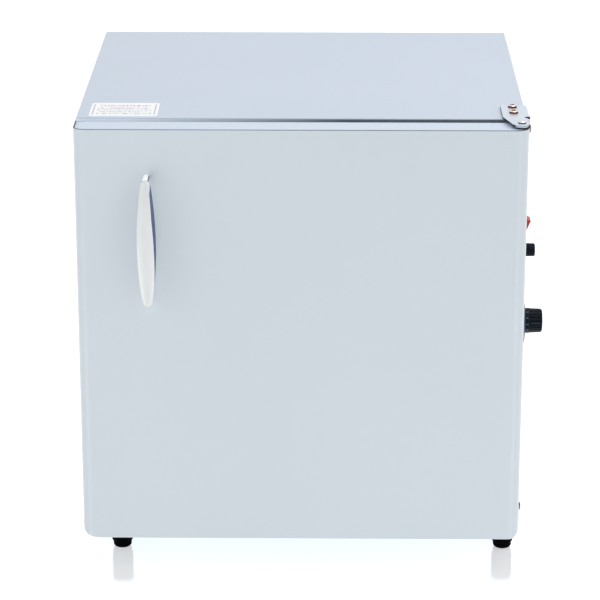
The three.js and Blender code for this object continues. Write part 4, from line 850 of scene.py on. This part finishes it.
# Door
# A wrapped sheet with two rounded front edges and round lower corners. Moulded caps close it
# above and below, each set inside the sheet's edge; a dark bead seals the joint above.
door_paint = finish_of(
    "door_paint", (200, 209, 216), (206, 215, 222), patch=4, grain=900, gloss=(0.3, 0.36),
    relief=0.000008, Metallic=0.1, Coat_Weight=0.25, Coat_Roughness=0.12)
# Its patches are drawn out along the door into faint streaks: painted reflection.
cap_plastic = finish_of(
    "cap_plastic", (217, 231, 249), (225, 238, 254), patch=16, grain=1300, gloss=(0.32, 0.4),
    relief=0.00001, stretch=(0.25, 2, 1))
joint_bead = finish_of(
    "joint_bead", (94, 104, 114), (110, 120, 130), patch=90, grain=1500, gloss=(0.6, 0.75),
    relief=0.00003)
seal_rubber = finish_of(
    "seal_rubber", (86, 91, 96), (98, 103, 108), patch=80, grain=1500, gloss=(0.5, 0.65),
    relief=0.00003)
door_edge = 0.012
door_sheet = 0.001
door_return = 0.01
low_round_up = 0.0085
low_round_across = {-1: 0.018, 1: 0.0095}
joint_height = 0.0006
pocket_half = 0.0063
pocket_ahead = 0.0096
pocket_flange = 0.0015
cutter_reach = 0.004
skin_low, skin_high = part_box("door_skin")


# Plan of the door inside its outline: back corners square, front corners round
def door_plan(inset, back_inset, steps=14):
    x0, x1 = skin_low.x + inset, skin_high.x - inset
    front, back = skin_low.y + inset, skin_high.y - back_inset
    radius = door_edge - inset
    left_edge = arc((x0 + radius, front + radius), (radius, radius), 180, 270, steps)
    right_edge = arc((x1 - radius, front + radius), (radius, radius), 270, 360, steps)
    return [(x0, back), *left_edge, *right_edge, (x1, back)]


# An upright wall between an outer and an inner plan that are open behind
def wall_between(name, outside, inside, low_z, high_z, material):
    loop = outside + inside[::-1]
    count = len(loop)
    points = [(x, y, z) for z in (low_z, high_z) for x, y in loop]
    faces = [[i, (i + 1) % count, count + (i + 1) % count, count + i] for i in range(count)]
    for base in (0, count):
        for i in range(count // 2 - 1):
            faces.append([base + i, base + i + 1, base + count - 2 - i, base + count - 1 - i])
    return piece_of(name, points, faces, material)


# A closed body that stands on a plan
def upright(name, plan, low_z, high_z, material):
    return ringed(name, [[(x, y, z) for x, y in plan] for z in (low_z, high_z)], material)


# The bodies that the door's lower edge is cut by: the hinge tongue's pocket and two round corners
def low_edge_cutters():
    bush_low, bush_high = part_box("hinge_bush_bottom")
    middle = (bush_low + bush_high) / 2
    x0, x1 = middle.x - pocket_half, skin_high.x + cutter_reach
    y0, y1 = middle.y - pocket_ahead, skin_high.y + cutter_reach
    below = skin_low.z - cutter_reach
    made = [upright("pocket_cutter", [(x0, y0), (x1, y0), (x1, y1), (x0, y1)],
                    below, bush_low.z + pocket_flange, door_paint)]
    for side, edge_x in ((-1, skin_low.x), (1, skin_high.x)):
        across = low_round_across[side]
        top = skin_low.z + low_round_up
        beside = edge_x + side * cutter_reach
        outline = [(beside, below), (beside, top)]
        outline += arc((edge_x - side * across, top), (side * across, -low_round_up), 0, 90, 12)
        outline.append((edge_x - side * across, below))
        made.append(ringed("corner_cutter", [
            [(x, y, z) for x, z in outline]
            for y in (skin_low.y - cutter_reach, skin_high.y + cutter_reach)], door_paint))
    return made


# Cuts a piece by such bodies, before its edges are broken, and keeps the result as its plain mesh
def cut_by(piece, cutters):
    finishing = list(piece.modifiers)
    for modifier in finishing:
        modifier.show_viewport = False
    cuts = [piece.modifiers.new("cut", "BOOLEAN") for cutter in cutters]
    for cut, cutter in zip(cuts, cutters):
        cut.operation = "DIFFERENCE"
        cut.solver = "MANIFOLD"
        cut.object = cutter
    result = made_mesh(piece)
    for cut in cuts:
        piece.modifiers.remove(cut)
    for modifier in finishing:
        modifier.show_viewport = True
    material = piece.data.materials[0]
    result.materials.clear()
    result.materials.append(material)
    result.polygons.foreach_set("material_index", [0] * len(result.polygons))
    result.polygons.foreach_set("use_smooth", [True] * len(result.polygons))
    result.set_sharp_from_angle(angle=math.radians(35))
    piece.data = result
    for cutter in cutters:
        bpy.data.objects.remove(cutter)


# A plan with the sheet's two returns added behind
def returned(plan, back):
    return [(skin_low.x + door_return, back), *plan, (skin_high.x - door_return, back)]


skin = wall_between(
    "door_sheet", returned(door_plan(0, 0), skin_high.y),
    returned(door_plan(door_sheet, door_sheet), skin_high.y - door_sheet),
    skin_low.z, skin_high.z - joint_height, door_paint)
cut_by(skin, low_edge_cutters())
broken(skin, 0.0003)
fit(weighted(skin), "door", "door_steel", "door_skin")
bead_inset = 0.0002
bead_inside = 0.0009
bead_lift = 0.00002
bead_drop = 0.0001
bead = wall_between(
    "door_joint_bead", door_plan(bead_inset, bead_inset), door_plan(bead_inside, bead_inset),
    skin_high.z - joint_height + bead_lift, skin_high.z - bead_drop, joint_bead)
fit(bead, "door", "seal_rubber")

cap_inset = door_sheet + 0.0005
cap_rim_steps = ((0, 13), (1, 9.5), (6, 7), (28, 2), (36, 0.3), (42, 0))


# One cap, set inside the sheet: its skirt, the round rim and the flat face; the sign turns it
# over. The rim's steps are in tenths of a millimetre, inward and away from the face.
def door_cap(name, node_name, out):
    low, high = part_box(node_name)
    face_z, skirt = (high.z, low.z) if out > 0 else (low.z, high.z)
    rim = [(0.0, skirt)] + [
        (tenth * inward, face_z - out * tenth * fall) for inward, fall in cap_rim_steps]
    return ringed(name, [
        [(x, y, z) for x, y in door_plan(cap_inset + inset, cap_inset + inset)] for inset, z in rim
    ], cap_plastic)


fit(weighted(door_cap("door_cap_above", "door_top_cap", 1)), "door", "cap_plastic", "door_top_cap")
cap_below = door_cap("door_cap_below", "door_bottom_cap", -1)
cut_by(cap_below, low_edge_cutters())
fit(weighted(cap_below), "door", "cap_plastic", "door_bottom_cap")
dressed("door_inner_panel", "door_liner", "door", "collar_plastic", collar_plastic, edge=0.001)
dressed("door_gasket", "door_seal", "door", "seal_rubber", seal_rubber, edge=0.0012)

# Handle
# A leaf of satin metal, bowed away from the door and thickest in the middle, on two short
# round posts. Its right side slopes back, widest near the top, and carries painted shade and
# dark painted reflection; the posts glow a little as a painted highlight, with painted shade on
# their right sides.
handle_metal = finish_of(
    "handle_metal", (206, 209, 212), (222, 224, 223), patch=26, grain=420, gloss=(0.3, 0.4),
    relief=0.00001, stretch=(3, 3, 1), Metallic=0.3)
# Near-white metal that glows a little: a painted highlight on the posts.
post_metal_painted_glow = finish_of(
    "post_metal_painted_glow", (236, 238, 240), (250, 251, 252), patch=60, grain=420, gloss=(0.25, 0.35),
    relief=0.00001, Metallic=0.2, Emission_Strength=0.3)
handle_shade = finish_of(
    "handle_shade", (64, 78, 116), (96, 108, 142), patch=40, grain=420, gloss=(0.25, 0.35),
    relief=0.00001, stretch=(3, 3, 1), Metallic=0.4)
low, high, middle = span_of("handle_blade")
blade_overrun = 0.0004
blade_shift = 0.0006
blade_x = middle.x + blade_shift
blade_top = high.z + blade_overrun
blade_length = high.z - low.z + 2 * blade_overrun
blade_width = 0.0188
blade_end_width = 0.0075
blade_fullness = 0.78
blade_thickness = 0.005
blade_end_thickness = 0.0032
blade_least = 0.0004
blade_crown = 0.0016
blade_bow = 0.003
blade_front = low.y + blade_bow
blade_stations = 72
blade_across = 14
blade_trim = 0.02
blade_slope = 0.38
slope_start, slope_full, slope_fade, slope_end = 0.02, 0.1, 0.3, 0.85
back_shares = ((1.0, 0.72), (0.97, 0.86), (0.88, 0.96), (0.7, 1.0))
back_shares += ((0.0, 1.0), *((-side, depth) for side, depth in back_shares[::-1]))
rings = []
for station in range(blade_stations + 1):
    along = blade_trim + (1 - 2 * blade_trim) * station / blade_stations
    share = 0.5 - 0.5 * math.cos(math.pi * along)
    swell = math.sin(math.pi * share)
    from_end = min(share, 1 - share) * blade_length
    in_round = max(0.0, 1 - from_end / (blade_end_width / 2))
    half = math.sqrt(max(1 - in_round * in_round, 0.0)) * (
        blade_end_width + (blade_width - blade_end_width) * swell ** blade_fullness) / 2
    thick = blade_end_thickness + (blade_thickness - blade_end_thickness) * swell
    face_y = blade_front - blade_bow * swell
    z = blade_top - share * blade_length
    slope = blade_slope * min(1.0, max(0.0, min(
        (share - slope_start) / (slope_full - slope_start),
        (slope_end - share) / (slope_end - slope_fade))))
    ring = []
    for k in range(blade_across + 1):
        side = -1 + (2 - slope) * k / blade_across
        ring.append((blade_x + side * half, face_y + blade_crown * side * side, z))
    for side, depth in back_shares:
        ring.append((blade_x + side * half, face_y + max(blade_crown + blade_least, thick * depth), z))
    rings.append(ring)
blade = ringed("handle_leaf", rings, handle_metal)
# Painted shade and dark painted reflection on the leaf's right slope.
blade.data.materials.append(handle_shade)
shade_low = blade_top - blade_length * slope_end
shade_high = blade_top - blade_length * slope_start
for polygon in blade.data.polygons:
    on_slope = polygon.index % len(rings[0]) >= blade_across
    sideways = polygon.normal.x > 0.3 and polygon.normal.y < 0.6
    if on_slope and sideways and shade_low < polygon.center.z < shade_high:
        polygon.material_index = 1
fit(blade, "door", "handle_metal", "handle_blade")

post_swell = 0.0005
post_neck = 0.0003
post_neck_start = 0.0009
post_neck_end = 0.0004
post_gap = 0.0001
for end in ("top", "bottom"):
    low, high, middle = span_of("handle_post_" + end)
    post_radius = (high.x - low.x) / 2 + post_swell
    neck_radius = post_radius - post_neck
    post = turned("handle_stud_" + end, [
        (0, low.y), (post_radius, low.y), (post_radius, skin_low.y - post_neck_start),
        (neck_radius, skin_low.y - post_neck_end), (neck_radius, skin_low.y - post_gap),
        (0, skin_low.y - post_gap),
    ], (middle.x, 0, middle.z), "y", post_metal_painted_glow, sides=40)
    # The posts' right-facing sides take painted shade.
    post.data.materials.append(handle_shade)
    for polygon in post.data.polygons:
        if polygon.normal.x > 0.75 and polygon.normal.z > -0.5:
            polygon.material_index = 1
    fit(post, "door", "handle_metal", "handle_post_" + end)

# Hinges
# Thick bent plates screwed to the case's top and bottom corners. Each holds a pin that turns in
# a nylon bush in the door's cap. The top plate has a relief notch between its fold and its tongue.
bracket_steel = finish_of(
    "bracket_steel", (212, 223, 238), (220, 230, 244), patch=30, grain=700, gloss=(0.3, 0.38),
    relief=0.000005, Metallic=0.2, Coat_Weight=0.2, Coat_Roughness=0.15)
# Painted shade for the plate's shaded edges and for the ring at the pin head's foot.
painted_shade_steel = finish_of(
    "painted_shade_steel", (38, 42, 48), (66, 71, 78), patch=120, grain=900, gloss=(0.3, 0.45),
    relief=0.00002, Metallic=0.7)
# A lit copy of the edge steel: painted light on the plate's rim.
painted_lit_rim_steel = finish_of(
    "painted_lit_rim_steel", (150, 162, 172), (182, 193, 201), patch=120, grain=900, gloss=(0.25, 0.35),
    relief=0.00001, Metallic=0.4)
bracket_sheet = 0.0023
bracket_edge = 0.0007
tongue_half = 0.0066
tongue_reach = 0.0106
relief_back = -0.1582
relief_front = -0.1625
relief_depth = 0.0022
relief_round = 0.001
tongue_cutter_reach = 0.01


# The body that narrows the top plate ahead of its fold: a relief notch, then a round tongue
def tongue_cutter():
    low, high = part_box("hinge_bracket_top")
    pin = span_of("hinge_pin_top")[-1]
    side = pin.x + tongue_half
    beside = side + tongue_cutter_reach
    ahead = pin.y - tongue_reach - tongue_cutter_reach
    plan = [(beside, relief_back), (side - relief_depth, relief_back),
            (side - relief_depth, relief_front), (side, relief_front - relief_depth)]
    plan += arc((pin.x, pin.y), (tongue_half, -tongue_reach), 0, 90, 18)
    plan += [(pin.x, ahead), (beside, ahead)]
    return upright("tongue_cutter", plan, low.z - tongue_cutter_reach, high.z + tongue_cutter_reach,
                   bracket_steel)


# The plate's rim is painted as lit and bright, but for the notch and the edge that faces left, which get
# painted shade
def rim_finished(plate):
    plate.data.materials.append(painted_shade_steel)
    plate.data.materials.append(painted_lit_rim_steel)
    for polygon in plate.data.polygons:
        heights = [plate.data.vertices[i].co.z for i in polygon.vertices]
        if abs(polygon.normal.z) < 0.5 and max(heights) - min(heights) < bracket_sheet * 1.1:
            in_relief = relief_front - relief_depth < polygon.center.y < relief_back + relief_round
            polygon.material_index = 1 if polygon.normal.x < -0.7 or in_relief else 2


rivet_swell = 0.0003
rivet_sink = 0.0009
rivet_dome = 0.0026
rivet_foot = 0.0007
pin_radius = 0.003
pin_tip_radius = 0.002
pin_taper = 0.001
for end in ("top", "bottom"):
    node_name = "hinge_bracket_" + end
    bracket = softened(node_name, node_name + "_plate", bracket_edge, bracket_steel)
    bracket.modifiers["broken_edges"].material = 0
    if end == "top":
        cut_by(bracket, [tongue_cutter()])
        rim_finished(bracket)
    fit(bracket, "cabinet", "bracket_steel", node_name)
    painted("hinge_backing_" + end, bracket_steel)
    low, high, middle = span_of("hinge_pin_" + end)
    pin_centre = (middle.x, middle.y, 0)
    head_radius = (high.x - low.x) / 2 + rivet_swell
    head_under = (high.z if end == "top" else -low.z) - rivet_sink
    pin_in = low.z if end == "top" else -high.z
    pin = turned("hinge_rivet_" + end, arc((0, head_under), (head_radius, rivet_dome), 90, 0, 10) + [
        (pin_radius, head_under), (pin_radius, pin_in + pin_taper), (pin_tip_radius, pin_in), (0, pin_in),
    ], pin_centre, "z", bright_steel, reverse=end == "bottom")
    # A dark ring at the head's foot is painted shade where the head meets the plate.
    pin.data.materials.append(painted_shade_steel)
    for polygon in pin.data.polygons:
        if 0 < abs(polygon.center.z) - head_under < rivet_foot:
            polygon.material_index = 1
    fit(pin, "cabinet", "bright_steel", "hinge_pin_" + end)

bush_nylon = finish_of(
    "bush_nylon", (20, 20, 22), (28, 28, 31), patch=70, grain=1500, gloss=(0.45, 0.55),
    relief=0.00001, Specular_IOR_Level=0.25)
bush_bore = 0.0033
bush_outside = 0.005
bush_neck = 0.012
for end in ("top", "bottom"):
    low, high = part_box("hinge_bush_" + end)
    flange_radius = (high.x - low.x) / 2
    out_z, in_z = (high.z, low.z) if end == "top" else (-low.z, -high.z)
    flange_z = in_z + bush_neck
    bush = turned("hinge_sleeve_" + end, [
        (bush_bore, out_z), (flange_radius, out_z), (flange_radius, flange_z), (bush_outside, flange_z),
        (bush_outside, in_z), (bush_bore, in_z),
    ], pin_centre, "z", bush_nylon, reverse=end == "bottom")
    fit(bush, "door", "bush_nylon", "hinge_bush_" + end)

# Screws
# Yellow-passivated screws with domed, cross-slotted heads hold the hinge plates, the tray and
# the back panel. Each head's colour carries painted light: a white painted highlight between
# its crown and its foot, painted shade below it, and a gold edge at the foot.
gold_zinc = finish_of(
    "gold_zinc", (176, 132, 84), (206, 170, 116), patch=260, grain=900, gloss=(0.16, 0.28),
    relief=0.00001, Metallic=0.9)
# Bands of painted highlight and painted shade, laid on by the head's crown value.
screw_painted_light_bands = (
    (0.3, (128, 94, 62)), (0.38, (176, 128, 106)), (0.45, (255, 250, 246)), (0.57, (255, 246, 240)),
    (0.64, (130, 84, 66)), (0.72, (48, 26, 18)), (0.82, (26, 14, 10)), (0.95, (34, 20, 14)),
    (1.0, (150, 110, 62)),
)
painted_light_share = 0.95
tree, shader, patches = coloured_by(gold_zinc)
crown = add_node(tree, "ShaderNodeAttribute", attribute_name="crown")
painted_light_ramp = add_node(tree, "ShaderNodeValToRGB", {"Fac": crown.outputs["Fac"]})
stops = painted_light_ramp.color_ramp.elements
stops.remove(stops[1])
stops[0].position = screw_painted_light_bands[0][0]
stops[0].color = tone(*screw_painted_light_bands[0][1])
for place, colour in screw_painted_light_bands[1:]:
    stops.new(place).color = tone(*colour)
tinted = add_node(tree, "ShaderNodeMix", {
    "Factor": painted_light_share, "A": patches, "B": painted_light_ramp.outputs["Color"]}, data_type="RGBA")
tree.links.new(tinted.outputs["Result"], shader.inputs["Base Color"])
head_radius = 0.0043
head_height = 0.0031
head_sink = 0.0003
dome_height = 0.0028
dome_foot_share = 0.06
slot_half = 0.0007
slot_reach = 0.0026
slot_fade = slot_reach * 1.6
slot_depth = 0.0014
screw_sides = 48
screw_rings = 16


# A domed head with a cross slot. Its crown value grows from 0 at the top to 1 at the rim.
def screw_head():
    def ring_of(radius):
        return arc((0, 0), (radius, radius), 0, 360, screw_sides)[:-1]

    rings = [[(0.0, 0.0, dome_height - slot_depth)]]
    for step in range(1, screw_rings + 1):
        radius = head_radius * step / screw_rings
        bulge = math.sqrt(max(0.0, 1 - (radius / head_radius) ** 2))
        rise = dome_height * (dome_foot_share + (1 - dome_foot_share) * bulge)
        ring = []
        for x, y in ring_of(radius):
            in_slot = min(abs(x), abs(y)) < slot_half and radius < slot_reach
            fall = slot_depth * (1 - radius / slot_fade) if in_slot else 0.0
            ring.append((x, y, rise - fall))
        rings.append(ring)
    for z in (0.0, -head_sink):
        rings.append([(x, y, z) for x, y in ring_of(head_radius)])
    pattern = ringed("screw_pattern", rings, gold_zinc)
    crown = pattern.data.attributes.new("crown", "FLOAT", "POINT")
    crown.data.foreach_set("value", [
        math.asin(min(1.0, math.hypot(vertex.co.x, vertex.co.y) / head_radius)) / (math.pi / 2)
        for vertex in pattern.data.vertices])
    return pattern


def screw_tree():
    tree = bpy.data.node_groups.new("set_screws", "GeometryNodeTree")
    inputs = named_inputs(tree, {"Screw": "Object", "Seed": "Int", "Finish": "Material"})
    given = add_node(tree, "NodeGroupInput").outputs
    screw = add_node(tree, "GeometryNodeObjectInfo", {"Object": given["Screw"]})
    facing, size = [
        add_node(tree, "GeometryNodeInputNamedAttribute", {"Name": name}, data_type=kind)
        for name, kind in (("facing", "FLOAT_VECTOR"), ("size", "FLOAT"))]
    lean = add_node(tree, "FunctionNodeAlignRotationToVector", {
        "Vector": facing.outputs["Attribute"]}, axis="Z")
    random_turn = add_node(tree, "FunctionNodeRandomValue", {
        3: math.pi, "Seed": given["Seed"]}, data_type="FLOAT")
    spin = add_node(tree, "FunctionNodeAxisAngleToRotation", {"Angle": random_turn.outputs[1]})
    turned_in = add_node(tree, "FunctionNodeRotateRotation", {
        "Rotation": lean.outputs[0], "Rotate By": spin.outputs[0]}, rotation_space="LOCAL")
    placed = add_node(tree, "GeometryNodeInstanceOnPoints", {
        "Points": given["Geometry"], "Instance": screw.outputs["Geometry"],
        "Rotation": turned_in.outputs[0], "Scale": size.outputs["Attribute"]})
    end_tree(tree, placed.outputs[0], given["Finish"])
    return tree, inputs


screw_lift = 0.0003
screw_size = 1.06
screw_nodes = {
    "bracket_screw_top_1": "up", "bracket_screw_top_2": "up", "bracket_screw_bottom": "down",
    "bracket_screw_top_side": "right", "bracket_screw_bottom_side": "right",
    "case_screw_front": "right", "case_screw_back": "right",
}
ways = {"up": Vector((0, 0, 1)), "down": Vector((0, 0, -1)), "right": Vector((1, 0, 0)),
        "left": Vector((-1, 0, 0)), "behind": Vector((0, 1, 0))}
places = []
for node_name, way in screw_nodes.items():
    low, high, middle = span_of(node_name)
    foot_of_head = {
        "up": Vector((middle.x, middle.y, high.z - head_height)),
        "down": Vector((middle.x, middle.y, low.z + head_height)),
        "right": Vector((high.x - head_height, middle.y, middle.z)),
    }[way]
    places.append((foot_of_head, ways[way], screw_size))
    if node_name.startswith("case_screw"):
        left_foot = Vector((case_low.x - screw_lift, middle.y, middle.z))
        places.append((left_foot, ways["left"], screw_size))
back_screw_inset = 0.012
back_screw_size = 0.75
back_panel_stand = 0.0013
back_low, back_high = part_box("back_panel")
left, right = back_low.x + back_screw_inset, back_high.x - back_screw_inset
bottom, top = back_low.z + back_screw_inset, back_high.z - back_screw_inset
row_shares = (0, 1 / 3, 2 / 3, 1)
for across in row_shares:
    for up in row_shares:
        if across in (0, 1) or up in (0, 1):
            spot = Vector((left + (right - left) * across, case_high.y + back_panel_stand + screw_lift,
                           bottom + (top - bottom) * up))
            places.append((spot, ways["behind"], back_screw_size))
carrier = bpy.data.meshes.new("screw_places")
carrier.from_pydata([place for place, way, size in places], [], [])
facing = carrier.attributes.new("facing", "FLOAT_VECTOR", "POINT")
facing.data.foreach_set("vector", [value for place, way, size in places for value in way])
sizes = carrier.attributes.new("size", "FLOAT", "POINT")
sizes.data.foreach_set("value", [size for place, way, size in places])
pattern = screw_head()
set_tree, set_inputs = screw_tree()
screws = grown("cabinet_screws", carrier, set_tree, set_inputs, {
    "Screw": pattern, "Seed": 4, "Finish": gold_zinc})
bpy.data.objects.remove(pattern)
fit(screws, "cabinet", "gold_zinc", *screw_nodes)

# Label
# A white paper label near the front left corner of the top. Two thin border rules, a tinted row
# of dashes and four grey-blue ones stand for its print.
label_low = Vector((-0.2247, -0.1512))
label_high = Vector((-0.1563, -0.0997))
label_corner = 0.003
label_gap = 0.00002
label_lift = 0.00015
label_paper = bpy.data.materials.new("label_paper")
label_paper.use_nodes = True
label_tree = label_paper.node_tree
paper = label_tree.nodes["Principled BSDF"]
paper.inputs["Roughness"].default_value = 0.5
# The paper glows a little: painted light that makes it whiter.
paper.inputs["Emission Strength"].default_value = 0.12
spot = add_node(label_tree, "ShaderNodeUVMap", uv_map="label").outputs[0]
across, up = add_node(label_tree, "ShaderNodeSeparateXYZ", {"Vector": spot}).outputs[:2]


def both(first, second):
    return reckoned(label_tree, "MULTIPLY", first, second)


# One inside an oblong of the paper, whose edges are shares of its width and height
def oblong(left, right, low, high):
    inside = []
    for socket, start, end in ((across, left, right), (up, low, high)):
        inside.append(both(reckoned(label_tree, "GREATER_THAN", socket, start),
                           reckoned(label_tree, "LESS_THAN", socket, end)))
    return both(*inside)


# Short dashes of uneven length in rows: one where there is ink
def dashes(row_height, fineness, seed, bare):
    row = reckoned(label_tree, "SNAP", up, row_height)
    spread = add_node(label_tree, "ShaderNodeCombineXYZ", {"X": across, "Y": row})
    moved = add_node(label_tree, "ShaderNodeVectorMath", {
        0: spread.outputs[0], 1: (0.0, seed, 0.0)}, operation="ADD")
    drawn = add_node(label_tree, "ShaderNodeMapping", {
        "Vector": moved.outputs[0], "Scale": (fineness, 61.0, 1.0)})
    uneven = add_node(label_tree, "ShaderNodeTexNoise", {
        "Vector": drawn.outputs[0], "Scale": 1.0, "Detail": 1.0})
    return reckoned(label_tree, "GREATER_THAN", uneven.outputs["Fac"], bare)


rule_grey = tone(184, 198, 210)
heading_tint = tone(222, 154, 184)
row_grey = tone(154, 174, 192)
rule_shares = ((0.035, 0.06), (0.94, 0.965))
first_row_share, row_pitch_share, row_height_share = 0.13, 0.145, 0.07
inks = [(oblong(left, right, 0.1, 0.9), rule_grey) for left, right in rule_shares]
inks.append((both(oblong(0.13, 0.88, 0.73, 0.85), dashes(2.0, 56.0, 3.0, 0.495)), heading_tint))
for line in range(4):
    row_low = first_row_share + line * row_pitch_share
    row = oblong(0.1, 0.91, row_low, row_low + row_height_share)
    inks.append((both(row, dashes(row_pitch_share, 46.0, 0.7 * line, 0.48)), row_grey))
colour = tone(254, 255, 254)
for mask, ink in inks:
    laid_over = add_node(label_tree, "ShaderNodeMix", {
        "Factor": mask, "A": colour, "B": ink}, data_type="RGBA")
    colour = laid_over.outputs["Result"]
label_tree.links.new(colour, paper.inputs["Base Color"])

inner_low = label_low + Vector((label_corner, label_corner))
inner_high = label_high - Vector((label_corner, label_corner))
outline = []
for x, y, start in ((inner_high.x, inner_high.y, 0), (inner_low.x, inner_high.y, 90),
                    (inner_low.x, inner_low.y, 180), (inner_high.x, inner_low.y, 270)):
    outline += arc((x, y), (label_corner, label_corner), start, start + 90, 6)
label = upright(
    "case_label", outline, case_high.z + label_gap, case_high.z + label_lift, label_paper)
uv = label.data.uv_layers.new(name="label")
for corner in label.data.loops:
    place = label.data.vertices[corner.vertex_index].co
    uv.data[corner.index].uv = (
        (place.x - label_low.x) / (label_high.x - label_low.x),
        (place.y - label_low.y) / (label_high.y - label_low.y))
fit(label, "cabinet", "case_steel")
